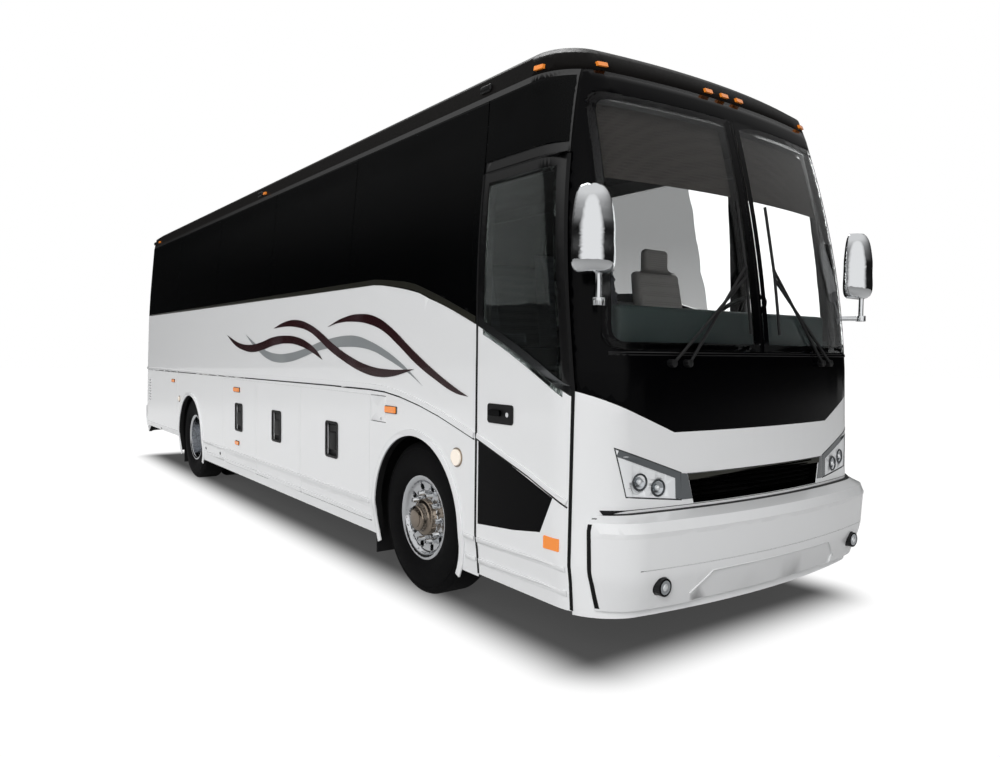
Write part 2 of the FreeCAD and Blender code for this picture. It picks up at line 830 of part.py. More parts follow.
def front_panel():
    """White lower front panel with its grille and lamp openings."""
    panel = front_shell.cut(mask_prism())
    panel = panel.cut(front_prism(grille_points(0), 0, far))
    cutter = front_prism(lamp_points(s.seat_gap), 0, far)
    panel = panel.cut(cutter).cut(mirrored(cutter))
    feature("front_panel", panel)


def headlamps():
    """Lamp units that fill their openings, each with two round lamps in a recessed face."""
    body = envelope(s.lamp_gap / 2)
    back = envelope(s.lamp_depth)
    unit = body.cut(back).common(front_prism(lamp_points(0), nose_x - s.brow_length, far))
    for share in (0.36, 0.68):
        y = s.lamp_inner_y + (s.lamp_outer_y - s.lamp_inner_y) * share
        z = s.lamp_inner_bottom + (s.lamp_outer_bottom - s.lamp_inner_bottom) * share + s.lamp_radius * 1.5
        hole = Part.makeCylinder(s.lamp_radius, s.overall_length, Vector(0, y, z), X_AXIS)
        floor = envelope(s.lamp_depth * 0.6)
        unit = unit.cut(hole.cut(floor))
    feature("headlamps", Part.makeCompound(unit.Solids + mirrored(unit).Solids))


def grille():
    """Grille frame with level slats that follow the curve of the nose."""
    block = envelope(s.lamp_gap).cut(envelope(s.grille_depth))
    frame = block.common(front_prism(grille_points(-s.seat_gap), 0, far))
    frame = frame.cut(front_prism(grille_points(-s.grille_frame), 0, far))
    slats = envelope(s.lamp_gap * 2).cut(envelope(s.lamp_gap * 2 + s.slat_depth))
    slats = slats.common(front_prism(grille_points(-s.seat_gap * 2), 0, far))
    pieces = [frame]
    slat_count = 5
    pitch = (s.grille_top_height - s.grille_bottom_height) / (slat_count + 1)
    for k in range(1, slat_count + 1):
        z = s.grille_bottom_height + pitch * k
        pieces.append(slats.common(box(0, far, -far, far, z - s.slat_thickness / 2, z + s.slat_thickness / 2)))
    feature("grille", fuse(pieces))


front_mask()
windscreen()
front_panel()
headlamps()
grille()


# Hinged panels cut from the side: entrance door, filler flap, rear flaps

def leaf_region(margin):
    """Entrance door outline, set in from the doorway by a margin."""
    return between_seams(s.door_rear_x + margin, RIGHT, s.door_bottom_height, s.door_top_height, margin,
                         s.wall_thickness * 4)


def low_glass_prism(margin):
    """Low window of the entrance door, x and z, with a rounded toe."""
    y0, y1 = side_range(RIGHT, -s.wall_thickness * 4)
    width = s.door_front_x - s.door_rear_x
    height = s.low_glass_top - s.low_glass_bottom
    corner_shares = ((0.03, 0.0), (0.45, 0.06), (0.74, 0.13), (0.86, 0.53), (0.28, 1.0 - 0.13), (0.03, 1.0))
    points = [(s.door_rear_x + width * a, s.low_glass_bottom + height * b) for a, b in corner_shares]
    middle_x = s.door_rear_x + width * 0.4
    middle_z = s.low_glass_bottom + height * 0.45
    shrink = 1 - margin / (width * 0.35)
    points = [(middle_x + (x - middle_x) * shrink, middle_z + (z - middle_z) * shrink) for x, z in points]
    return side_prism(points, y0, y1)


def entrance_door():
    """Door leaf with its tall window and low window cut, and the glass set flush in them."""
    leaf = shell.common(leaf_region(s.panel_gap))
    frame = s.door_frame
    lip = s.door_frame / 3
    reach = s.wall_thickness * 4
    tall = between_seams(s.door_rear_x + frame, RIGHT, 0, s.door_top_height - frame, frame, reach)
    tall_region = tall.common(above_belt(-s.window_frame / 2))
    tall = between_seams(s.door_rear_x + frame + lip, RIGHT, 0, s.door_top_height - frame - lip, frame + lip, reach)
    tall_hole = tall.common(above_belt(-s.window_frame / 2 + lip))
    low_region, low_hole = low_glass_prism(0), low_glass_prism(lip)
    glass = [skin.common(region) for region in (tall_region, low_region)]
    leaf = leaf.cut(glass).cut([tall_hole, low_hole])
    for z in (s.arm_low_height, s.arm_high_height):
        leaf = leaf.fuse(door_pin(z))
    feature("door_leaf", leaf.removeSplitter())
    feature("door_glass", Part.makeCompound([solid for pane in glass for solid in pane.Solids]))


def door_pin(z):
    """Bracket on the inside of the leaf that holds the pin for one swing arm."""
    x, y = s.arm_post_x - s.arm_length, s.arm_post_y
    inside = -(half_width - s.wall_thickness)
    low, high = z + s.arm_boss_height / 2 + s.ear_gap, z + s.arm_boss_height / 2 + s.ear_gap + s.bay_plate / 2
    plate = box(x - s.arm_boss_radius, x + s.arm_boss_radius, inside - s.trim_gap, y, low, high)
    plate = plate.fuse(Part.makeCylinder(s.arm_boss_radius, high - low, Vector(x, y, low)))
    pin = Part.makeCylinder(s.arm_pin_radius, s.arm_boss_height + s.ear_gap, Vector(x, y, z - s.arm_boss_height / 2))
    return plate.fuse(pin)


def door_arms():
    """Turning post at the front of the doorway with two swing arms that end in pierced bosses."""
    post_x, post_y = s.arm_post_x, s.arm_post_y
    pin_x = post_x - s.arm_length
    foot = s.step_bottom_height + s.seat_gap
    pieces = [Part.makeCylinder(s.arm_boss_radius, s.arm_high_height + s.arm_boss_height - foot,
                                Vector(post_x, post_y, foot))]
    holes = []
    for z in (s.arm_low_height, s.arm_high_height):
        pieces.append(rod(Vector(post_x, post_y, z), Vector(pin_x, post_y, z), s.arm_radius))
        base = Vector(pin_x, post_y, z - s.arm_boss_height / 2)
        pieces.append(Part.makeCylinder(s.arm_boss_radius, s.arm_boss_height, base))
        holes.append(Part.makeCylinder(s.arm_pin_radius + s.kingpin_clearance, s.arm_boss_height, base))
    feature("door_arms", fuse(pieces).cut(holes))


entrance_door()
door_arms()


def level_bead(x0, x1, y, z, gap):
    """Level hinge bead on the top outer edge of a lid, just clear of the panel above."""
    return rod(Vector(x0, y, z), Vector(x1, y, z), gap - s.seat_gap)


def filler_flap():
    """Small flap ahead of the luggage doors, with its upright hinge bead at the front."""
    y0, y1 = side_range(RIGHT)
    low, high = s.filler_bottom, s.bay_door_top - s.panel_gap / 2
    flap = shell.common(box(s.bay_door_front_x + s.panel_gap * 3, s.filler_front_x, y0, y1, low, high))
    bead = rod(Vector(s.filler_front_x, -half_width, low), Vector(s.filler_front_x, -half_width, high),
               s.panel_gap - s.seat_gap)
    feature("filler_flap", flap.fuse(bead))


filler_flap()


def louvre_slots(x0, x1, y0, y1):
    """Level air slots in a side flap."""
    pitch = (s.louvre_top - s.louvre_bottom) / s.louvre_count
    return [box(x0, x1, y0, y1, s.louvre_bottom + pitch * k, s.louvre_bottom + pitch * k + s.louvre_height)
            for k in range(int(s.louvre_count))]


def rear_flap(side):
    """Side flap behind the rear wheel, with a block of louvres at its rear end."""
    y0, y1 = side_range(side)
    flap = shell.common(box(s.flap_rear_x + s.panel_gap, s.flap_front_x - s.panel_gap, y0, y1,
                            s.flap_bottom + s.panel_gap, s.bay_door_top))
    x0 = s.flap_rear_x + s.panel_gap * 10
    flap = flap.cut(louvre_slots(x0, x0 + s.louvre_width, y0, y1))
    bead = level_bead(s.flap_rear_x + s.rear_corner_radius, s.flap_front_x - s.panel_gap, half_width * side,
                      s.bay_door_top, s.panel_gap / 2)
    feature("rear_flap_" + SIDE_NAMES[side], flap.fuse(bead))


rear_flap(RIGHT)
rear_flap(LEFT)


def engine_lid():
    """Top-hinged lid over the engine, with two blocks of air slots."""
    lid = shell.common(lid_prism(s.panel_gap))
    pitch = (s.louvre_top - s.louvre_bottom) / s.louvre_count
    slots = []
    for side in (LEFT, RIGHT):
        y_near, y_far = sorted((side * s.lid_half_width * 0.18, side * s.lid_half_width * 0.82))
        for k in range(int(s.louvre_count)):
            z = s.lid_bottom + (s.lid_top - s.lid_bottom) * 0.45 + pitch * k
            slots.append(box(-far, s.rear_seam_x, y_near, y_far, z, z + s.louvre_height))
    bead_z = s.lid_top - s.panel_gap
    bead_x = rear_at(bead_z)
    bead = rod(Vector(bead_x, -s.lid_half_width * 0.25, bead_z), Vector(bead_x, s.lid_half_width * 0.25, bead_z),
               s.panel_gap - s.seat_gap)
    print("engine lid hinge line at x %.2f, z %.2f" % (bead_x, bead_z))
    feature("engine_lid", lid.cut(slots).fuse(bead))


engine_lid()


# Luggage doors, made as padded profiles with a latch recess

def place(item, x, y, z):
    """Bind the place of an object to the sheet."""
    for axis, value in (("x", x), ("y", y), ("z", z)):
        if isinstance(value, Size):
            item.setExpression("Placement.Base." + axis, value.text)


def plane_of(body, role):
    """Origin plane of a body."""
    return [item for item in body.Origin.OriginFeatures if item.Role == role][0]


def new_body(label):
    """Empty body that becomes one node."""
    body = doc.addObject("PartDesign::Body", label)
    body.Label = label
    NODES.append(body)
    return body


def sketch_on(body, role, name, offset=None):
    """Sketch on one of the body's own planes, lifted off it by a size."""
    sketch = body.newObject("Sketcher::SketchObject", name)
    sketch.AttachmentSupport = [(plane_of(body, role), "")]
    sketch.MapMode = "FlatFace"
    if offset is not None:
        sketch.AttachmentOffset = Placement(Vector(0, 0, offset), Rotation())
        sketch.setExpression("AttachmentOffset.Base.z", offset.text)
    return sketch


def fix_point(sketch, geometry, point, x, y):
    """Hold one point of the sketch at two sizes from its origin."""
    for kind, value in (("DistanceX", x), ("DistanceY", y)):
        index = sketch.addConstraint(Sketcher.Constraint(kind, -1, 1, geometry, point, float(value)))
        if isinstance(value, Size):
            sketch.setExpression("Constraints[%d]" % index, value.text)


def closed_outline(sketch, points):
    """Closed outline of straight lines, each corner held by sizes from the sheet."""
    vectors = [Vector(float(x), float(y), 0) for x, y in points]
    first = None
    for k, start in enumerate(vectors):
        end = vectors[(k + 1) % len(vectors)]
        line = sketch.addGeometry(Part.LineSegment(start, end), False)
        first = line if first is None else first
    count = len(points)
    for k in range(count):
        sketch.addConstraint(Sketcher.Constraint("Coincident", first + k, 2, first + (k + 1) % count, 1))
    for k, (x, y) in enumerate(points):
        fix_point(sketch, first + k, 1, x, y)


def circle_outline(sketch, x, y, radius):
    """Circle held by its centre and radius."""
    index = sketch.addGeometry(Part.Circle(Vector(float(x), float(y), 0), Vector(0, 0, 1), float(radius)), False)
    fix_point(sketch, index, 3, x, y)
    constraint = sketch.addConstraint(Sketcher.Constraint("Radius", index, float(radius)))
    sketch.setExpression("Constraints[%d]" % constraint, radius.text)


def add_feature(body, kind, name, sketch, length, reversed_way=False):
    """Pad or pocket of one sketch."""
    item = body.newObject("PartDesign::" + kind, name)
    item.Profile = sketch
    item.Reversed = reversed_way
    item.Length = float(length)
    item.setExpression("Length", length.text)
    return item


def revolve(body, name, sketch):
    """Full turn of a sketch about its own vertical axis."""
    item = body.newObject("PartDesign::Revolution", name)
    item.Profile = sketch
    item.ReferenceAxis = (sketch, ["V_Axis"])
    item.Angle = 360
    return item


def around(body, name, feature_item, axis_sketch, count):
    """Polar pattern of a feature about the sketch's normal."""
    item = body.newObject("PartDesign::PolarPattern", name)
    item.Originals = [feature_item]
    item.Axis = (axis_sketch, ["N_Axis"])
    item.Angle = 360
    item.Occurrences = int(count)
    item.setExpression("Occurrences", count.text)
    body.Tip = item
    return item


def luggage_door(side, number, x0, x1):
    """Flat luggage door with the skirt's creases, a rolled foot and a latch recess with its paddle."""
    body = new_body("luggage_door_%s_%d" % (SIDE_NAMES[side], number))
    face = half_width
    back = half_width - s.bay_door_thickness
    low = s.bay_door_bottom
    top = s.bay_door_top
    foot_share = (s.crease_low_height - low) / (s.crease_low_height - s.skirt_height)
    foot = face - s.crease_inset - (s.skirt_inset - s.crease_inset) * foot_share
    outline = [(back, low), (foot, low), (face - s.crease_inset, s.crease_low_height),
               (face, s.crease_high_height), (face, top), (back, top)]
    sketch = sketch_on(body, "YZ_Plane", body.Label + "_profile", x0 + s.panel_gap * 1.5)
    closed_outline(sketch, [(y * side, z) for y, z in outline])
    add_feature(body, "Pad", body.Label + "_panel", sketch, x1 - x0 - s.panel_gap * 2)
    bead = sketch_on(body, "YZ_Plane", body.Label + "_bead", x0 + s.panel_gap * 1.5)
    circle_outline(bead, face * side, top, s.panel_gap / 2 - s.seat_gap)
    add_feature(body, "Pad", body.Label + "_hinge_bead", bead, x1 - x0 - s.panel_gap * 2)
    latch_x = (x0 + x1 - s.latch_width) / 2
    recess = sketch_on(body, "XZ_Plane", body.Label + "_latch", -(face * side))
    closed_outline(recess, [(latch_x, s.latch_bottom), (latch_x + s.latch_width, s.latch_bottom),
                            (latch_x + s.latch_width, s.latch_bottom + s.latch_height),
                            (latch_x, s.latch_bottom + s.latch_height)])
    add_feature(body, "Pocket", body.Label + "_recess", recess, s.latch_depth, side == LEFT)
    doc.recompute()
    paddle = sketch_on(body, "XZ_Plane", body.Label + "_paddle", -((face - s.latch_depth) * side))
    margin = (s.latch_width - s.paddle_width) / 2
    closed_outline(paddle, [(latch_x + margin, s.latch_bottom + margin),
                            (latch_x + s.latch_width - margin, s.latch_bottom + margin),
                            (latch_x + s.latch_width - margin, s.latch_bottom + s.latch_height - margin / 2),
                            (latch_x + margin, s.latch_bottom + s.latch_height - margin / 2)])
    add_feature(body, "Pad", body.Label + "_handle", paddle, s.paddle_depth, side == LEFT)
    return body


for side in (RIGHT, LEFT):
    for number, (x0, x1) in enumerate(bay_spans(), start=1):
        luggage_door(side, number, x0, x1)


# Wheels

def tyre_ring(body, name, middle):
    """Tyre section turned about the wheel's axle, which is the body's vertical axis."""
    half = s.tyre_width / 2
    outer_radius = s.tyre_diameter / 2
    wall = outer_radius - s.bead_radius
    side_shares = ((0.10, 0.85), (0.30, 0.97), (0.50, 1.0), (0.74, 0.96), (0.90, 0.88), (0.97, 0.78), (1.0, 0.66))
    right = [(s.bead_radius + wall * a, middle + half * b) for a, b in side_shares]
    left = [(s.bead_radius + wall * a, middle - half * b) for a, b in reversed(side_shares)]
    bead = s.rim_width / 2 - s.barrel_thickness
    flange = s.rim_width / 2 - s.barrel_thickness * RIM_LIP_SHARE - s.seat_gap
    edge = s.rim_radius + s.seat_gap
    points = [(s.bead_radius, middle + bead), (edge, middle + flange)] + right
    points += left + [(edge, middle - flange), (s.bead_radius, middle - bead)]
    sketch = sketch_on(body, "XZ_Plane", name + "_section")
    closed_outline(sketch, points)
    return revolve(body, name, sketch)


def barrel_points(middle, disc_low, disc_high, rim_low, rim_high):
    """Rim section: a barrel with its two flanges and a disc that is flat out to the nuts, then coned."""
    half = s.rim_width / 2
    lip = s.barrel_thickness * RIM_LIP_SHARE
    seat = s.bead_radius - s.seat_gap
    barrel = seat - s.barrel_thickness
    inner = s.spindle_radius + s.spindle_clearance
    return [(inner, disc_low), (s.disc_flat_radius, disc_low), (barrel, rim_low), (barrel, middle - half + lip),
            (s.rim_radius - lip, middle - half), (s.rim_radius, middle - half), (s.rim_radius, middle - half + lip),
            (seat, middle - half + s.barrel_thickness),
            (seat, middle + half - s.barrel_thickness), (s.rim_radius, middle + half - lip),
            (s.rim_radius, middle + half), (s.rim_radius - lip, middle + half), (barrel, middle + half - lip),
            (barrel, rim_high), (s.disc_flat_radius, disc_high), (inner, disc_high)]


def wheel_bodies(label, twin):
    """Tyre and rim of one wheel, or of a pair on one hub, turned about the body's vertical axis."""
    tyre = new_body("tyre_" + label)
    rim = new_body("rim_" + label)
    tyre.AllowCompound = True
    if twin:
        for way, name in ((1, "outer"), (-1, "inner")):
            tyre_ring(tyre, "tyre_%s_%s" % (label, name), s.twin_spacing / 2 * way)
    else:
        tyre_ring(tyre, "tyre_%s_ring" % label, s.tyre_width * 0)
    inner = s.spindle_radius + s.spindle_clearance
    plate = s.disc_thickness
    if twin:
        reach = s.twin_disc_reach
        sections = (("outer", s.twin_spacing / 2, plate * 0, plate, reach, reach + plate),
                    ("inner", -s.twin_spacing / 2, -plate, plate * 0, -(reach + plate), -reach))
        face = plate * 1.0
    else:
        low = s.disc_offset
        sections = (("single", plate * 0, low, low + plate, low - plate * 0.4, low + plate * 1.4),)
        face = low + plate
    for part_name, middle, disc_low, disc_high, rim_low, rim_high in sections:
        sketch = sketch_on(rim, "XZ_Plane", "rim_%s_%s" % (label, part_name))
        closed_outline(sketch, barrel_points(middle, disc_low, disc_high, rim_low, rim_high))
        revolve(rim, "rim_%s_%s_turn" % (label, part_name), sketch)
    hub = sketch_on(rim, "XZ_Plane", "rim_%s_hub" % label)
    reach = face + s.hub_reach
    low = face - s.disc_thickness
    cap_shares = ((1.0, 0.0), (1.0, 0.35), (0.72, 0.45), (0.68, 0.90), (0.50, 1.0))
    hub_points = [(s.spindle_radius * 0, reach)]
    rounding = [(s.hub_radius * a, face + s.hub_reach * b) for a, b in cap_shares][::-1]
    hub_points += rounding + [(s.hub_radius, low), (inner, low), (inner, face + s.hub_reach * 0.4),
                              (s.spindle_radius * 0, face + s.hub_reach * 0.4)]
    closed_outline(hub, hub_points)
    revolve(rim, "rim_%s_hub_turn" % label, hub)
    doc.recompute()
    holes = sketch_on(rim, "XY_Plane", "rim_%s_hand_hole" % label, face + s.hub_reach)
    circle_outline(holes, s.hand_hole_circle, s.hand_hole_circle * 0, s.hand_hole_radius)
    pocket = add_feature(rim, "Pocket", "rim_%s_hand_holes" % label, holes, s.hub_reach * 2 + s.rim_width)
    around(rim, "rim_%s_hand_hole_ring" % label, pocket, holes, s.nut_count)
    nuts = sketch_on(rim, "XY_Plane", "rim_%s_nut" % label, face)
    circle_outline(nuts, s.nut_circle, s.nut_circle * 0, s.nut_radius)
    pad = add_feature(rim, "Pad", "rim_%s_nut_pad" % label, nuts, s.nut_reach)
    around(rim, "rim_%s_nut_ring" % label, pad, nuts, s.nut_count)
    return tyre, rim


def stand_wheel(bodies, x, y, side):
    """Turn the wheel's axle across the bus, with its outer face outwards, and put it in place."""
    for body in bodies:
        body.Placement = Placement(Vector(x, y, axle_height), Rotation(X_AXIS, -90 * side))
        place(body, x, y, axle_height)


for side in (RIGHT, LEFT):
    name = SIDE_NAMES[side]
    stand_wheel(wheel_bodies("front_" + name, False), front_axle_x,
                (half_width - s.front_wheel_inset) * side, side)
    stand_wheel(wheel_bodies("rear_" + name, True), rear_axle_x,
                (half_width - s.rear_wheel_inset - s.twin_spacing / 2) * side, side)

# Front axle, knuckles and rear axle
kingpin_y = half_width - s.front_wheel_inset - s.kingpin_offset


def front_axle():
    """Dropped beam with an upright eye at each end and an air bellows under each rail."""
    body = new_body("front_axle")
    top = axle_height + s.eye_height / 2
    low = axle_height - s.eye_height / 2
    drop = s.front_beam_drop
    end = kingpin_y
    knee = s.front_beam_half
    outline = [(-end, low), (-(knee + drop), low), (-knee, low - drop), (knee, low - drop), (knee + drop, low),
               (end, low), (end, top), (knee + drop, top), (knee, top - drop), (-knee, top - drop),
               (-(knee + drop), top), (-end, top)]
    sketch = sketch_on(body, "YZ_Plane", "front_axle_outline", front_axle_x - s.front_beam_width / 2 + s.eye_radius * 0.2)
    closed_outline(sketch, outline)
    add_feature(body, "Pad", "front_axle_beam", sketch, s.front_beam_width - s.eye_radius * 0.4)
    for side in (RIGHT, LEFT):
        name = SIDE_NAMES[side]
        eye = sketch_on(body, "XY_Plane", "front_axle_eye_" + name, low)
        circle_outline(eye, front_axle_x, kingpin_y * side, s.eye_radius)
        add_feature(body, "Pad", "front_axle_eye_pad_" + name, eye, s.eye_height)
        doc.recompute()
        bore = sketch_on(body, "XY_Plane", "front_axle_bore_" + name, top)
        circle_outline(bore, front_axle_x, kingpin_y * side, s.kingpin_radius + s.kingpin_clearance)
        add_feature(body, "Pocket", "front_axle_bore_cut_" + name, bore, s.eye_height)
        bellows = sketch_on(body, "XY_Plane", "front_axle_bellows_" + name, top - drop)
        circle_outline(bellows, front_axle_x, s.front_rail_y * side, s.bellows_radius)
        add_feature(body, "Pad", "front_axle_bellows_pad_" + name, bellows, s.front_rail_bottom - (top - drop))


def knuckle(side):
    """Steering knuckle: two ears on the kingpin, a plate and the wheel spindle."""
    y_pin = kingpin_y * side
    low = axle_height - s.eye_height / 2 - s.ear_gap
    high = axle_height + s.eye_height / 2 + s.ear_gap
    gap = s.eye_radius + s.knuckle_plate_gap
    plate_in, plate_out = y_pin + gap * side, y_pin + (gap + s.knuckle_plate) * side
    half = s.eye_radius * 1.2
    pieces = [box(front_axle_x - half, front_axle_x + half, min(plate_in, plate_out), max(plate_in, plate_out),
                  low - s.ear_height, high + s.ear_height)]
    for base in (low - s.ear_height, high):
        pieces.append(Part.makeCylinder(s.eye_radius, s.ear_height, Vector(front_axle_x, y_pin, base)))
        pieces.append(box(front_axle_x - s.eye_radius, front_axle_x + s.eye_radius, min(y_pin, plate_out),
                          max(y_pin, plate_out), base, base + s.ear_height))
    pieces.append(Part.makeCylinder(s.kingpin_radius, high - low + s.ear_height,
                                    Vector(front_axle_x, y_pin, low - s.ear_height / 2)))
    tip = (half_width - s.front_wheel_inset + s.disc_offset + s.disc_thickness) * side
    pieces.append(rod(Vector(front_axle_x, plate_in + s.knuckle_plate * side / 2, axle_height),
                      Vector(front_axle_x, tip, axle_height), s.spindle_radius))
    feature("knuckle_" + SIDE_NAMES[side], fuse(pieces))


def rear_axle():
    """Drive axle housing with its round middle, the hub spindles and the air bellows."""
    body = new_body("rear_axle")
    tip = half_width - s.rear_wheel_inset - s.twin_spacing / 2
    inner_face = tip - s.twin_spacing / 2 - s.tyre_width / 2 - s.bellows_waist
    outline = [(s.spindle_radius * 0, -tip), (s.spindle_radius, -tip), (s.spindle_radius, -inner_face),
               (s.axle_tube_radius, -inner_face), (s.axle_tube_radius, -s.differential_half),
               (s.differential_radius, -s.differential_half / 2), (s.differential_radius, s.differential_half / 2),
               (s.axle_tube_radius, s.differential_half), (s.axle_tube_radius, inner_face),
               (s.spindle_radius, inner_face), (s.spindle_radius, tip), (s.spindle_radius * 0, tip)]
    sketch = sketch_on(body, "XY_Plane", "rear_axle_outline")
    closed_outline(sketch, outline)
    revolve(body, "rear_axle_turn", sketch)
    body.Placement = Placement(Vector(rear_axle_x, 0, axle_height), Rotation())
    place(body, rear_axle_x, 0, axle_height)
    for side in (RIGHT, LEFT):
        bellows = sketch_on(body, "XY_Plane", "rear_axle_bellows_" + SIDE_NAMES[side])
        circle_outline(bellows, s.spindle_radius * 0, s.rear_rail_y * side, s.bellows_radius * 0.8)
        add_feature(body, "Pad", "rear_axle_bellows_pad_" + SIDE_NAMES[side], bellows,
                    s.rear_rail_bottom - axle_height)


front_axle()
knuckle(RIGHT)
knuckle(LEFT)
rear_axle()


# Chassis, wheel housings, floors, bay

def ladder(body, name, x0, x1, rail_y, bottom, count):
    """Two rails and level cross members in one pad."""
    outside = rail_y + s.rail_width / 2
    inside = rail_y - s.rail_width / 2
    sketch = sketch_on(body, "XY_Plane", name + "_plan", bottom)
    closed_outline(sketch, [(x0, -outside), (x1, -outside), (x1, outside), (x0, outside)])
    pitch = (x1 - x0 - s.crossmember_width) / count
    for k in range(count):
        a = x0 + s.crossmember_width + pitch * k
        b = x0 + pitch * (k + 1)
        closed_outline(sketch, [(a, -inside), (b, -inside), (b, inside), (a, inside)])
    add_feature(body, "Pad", name, sketch, s.rail_height)


chassis = new_body("chassis_frame")
chassis.AllowCompound = True
ladder(chassis, "front_ladder", s.bay_front_x, nose_x - s.wall_thickness * 4, s.front_rail_y, s.front_rail_bottom, 4)
rear_ladder_x = tail_x + s.wall_thickness * 5
REAR_LADDER_BAYS = 3
ladder(chassis, "rear_ladder", rear_ladder_x, s.bay_rear_x, s.rear_rail_y, s.rear_rail_bottom, REAR_LADDER_BAYS)
doc.recompute()
for end, bore_x, rail_bottom in (("front", nose_x - s.wall_thickness * 4 - s.crossmember_width / 2, s.front_rail_bottom),
                                 ("rear", rear_ladder_x + s.crossmember_width / 2, s.rear_rail_bottom)):
    bore = sketch_on(chassis, "XY_Plane", end + "_tow_bore", rail_bottom + s.rail_height)
    circle_outline(bore, bore_x, s.tow_bore_radius * 0, s.tow_bore_radius)
    add_feature(chassis, "Pocket", end + "_tow_bore_cut", bore, s.rail_height)
    print("%s tow bore at x %.1f, z %.1f to %.1f" % (end, bore_x, rail_bottom, rail_bottom + s.rail_height))
rear_bay_length = (s.bay_rear_x - rear_ladder_x - s.crossmember_width) / REAR_LADDER_BAYS - s.crossmember_width


def wheel_housings():
    """Open-bottomed box over each wheel."""
    pieces = []
    plate = s.housing_thickness
    for axle_x, half, inner_y in ((front_axle_x, s.front_housing_half, s.front_housing_inner_y),
                                  (rear_axle_x, s.rear_housing_half, s.rear_housing_inner_y)):
        outside = half_width - s.wall_thickness - s.trim_gap
        if axle_x == rear_axle_x:
            top = s.housing_height + s.housing_thickness
        else:
            top = s.housing_height
        x0 = max(axle_x - half, s.bay_front_x + s.trim_gap) if axle_x == front_axle_x else axle_x - half
        x1 = axle_x + half
        bottom = s.front_rail_bottom if axle_x == front_axle_x else s.rear_rail_bottom
        hood = box(x0, x1, inner_y, outside, bottom, top)
        hollow = box(x0 + plate, x1 - plate, inner_y + plate, outside + plate, bottom - plate, top - plate)
        skirt = s.skirt_height + s.crease_inset * 4
        ends = [box(x0, x0 + plate, inner_y + s.rail_width * 1.5, outside, skirt, bottom + plate),
                box(x1 - plate, x1, inner_y + s.rail_width * 1.5, outside, skirt, bottom + plate)]
        hood = hood.cut(hollow).fuse(ends).removeSplitter().common(room)
        pieces += [hood, mirrored(hood)]
    feature("wheel_housings", Part.makeCompound(pieces))


def saloon_floor():
    """Saloon floor, the lower cab floor and the landing beside it as one folded deck."""
    wall = half_width - s.wall_thickness - s.trim_gap
    low = s.cab_floor_height - s.cab_floor_thickness
    rear_x = s.floor_front_x - s.cab_floor_thickness
    well_rear = s.door_rear_x - s.trim_gap
    deck = box(s.rear_seam_x + s.trim_gap, s.floor_front_x, -wall, wall, s.floor_height - s.floor_thickness,
               s.floor_height)
    riser = box(rear_x, s.floor_front_x, -wall, wall, low, s.floor_height)
    cab = box(rear_x, s.cab_front_x, s.aisle_y, wall, low, s.cab_floor_height)
    landing = box(rear_x, well_rear, -wall, s.aisle_y + s.trim_gap, low, s.cab_floor_height)
    feature("saloon_floor", fuse([deck, riser, cab, landing]).common(room))


def entrance_steps():
    """Treads and risers between the entrance door and the cab floor."""
    pieces = []
    well_rear = s.door_rear_x - s.trim_gap
    count = int(s.step_count)
    rise = (s.cab_floor_height - s.step_bottom_height) / count
    inside = -(half_width - s.wall_thickness * 2)
    tread = (s.aisle_y - inside) / count
    top = s.cab_floor_height - s.cab_floor_thickness
    rear_x = well_rear - s.step_plate
    for k in range(count):
        z = s.step_bottom_height + rise * k
        y = inside + tread * k
        pieces.append(box(rear_x, s.cab_front_x, y, y + tread + s.step_plate, z - s.step_plate, z))
        pieces.append(box(rear_x, s.cab_front_x, y + tread, y + tread + s.step_plate, z - s.step_plate,
                          min(z + rise, top)))
    feature("entrance_steps", fuse(pieces).common(room))


def luggage_bay():
    """Bay floor and the two bulkheads that close it towards the wheels."""
    wall = half_width - s.wall_thickness - s.trim_gap
    plate = s.bay_plate
    deck_low = s.floor_height - s.floor_thickness
    floor = box(s.bay_rear_x, s.bay_front_x, -wall, wall, s.bay_floor_height - plate, s.bay_floor_height)
    rear = box(s.bay_rear_x, s.bay_rear_x + plate, -wall, wall, s.bay_floor_height, deck_low)
    front = box(s.bay_front_x - plate, s.bay_front_x, -wall, wall, s.bay_floor_height, deck_low)
    feature("luggage_bay", fuse([floor, rear, front]).common(room))


wheel_housings()
saloon_floor()
entrance_steps()
luggage_bay()

# Engine block
engine = doc.addObject("Part::Box", "engine_block")
engine.Label = "engine_block"
engine_sizes = (("Length", rear_bay_length - s.seat_gap * 2),
                ("Width", (s.rear_rail_y - s.rail_width / 2 - s.seat_gap) * 2), ("Height", s.engine_height))
for prop, value in engine_sizes:
    setattr(engine, prop, float(value))
    engine.setExpression(prop, value.text)
place(engine, rear_ladder_x + s.crossmember_width + s.seat_gap, s.rail_width / 2 + s.seat_gap - s.rear_rail_y,
      s.engine_bottom)
NODES.append(engine)


# Cab: dashboard, steering wheel, seats

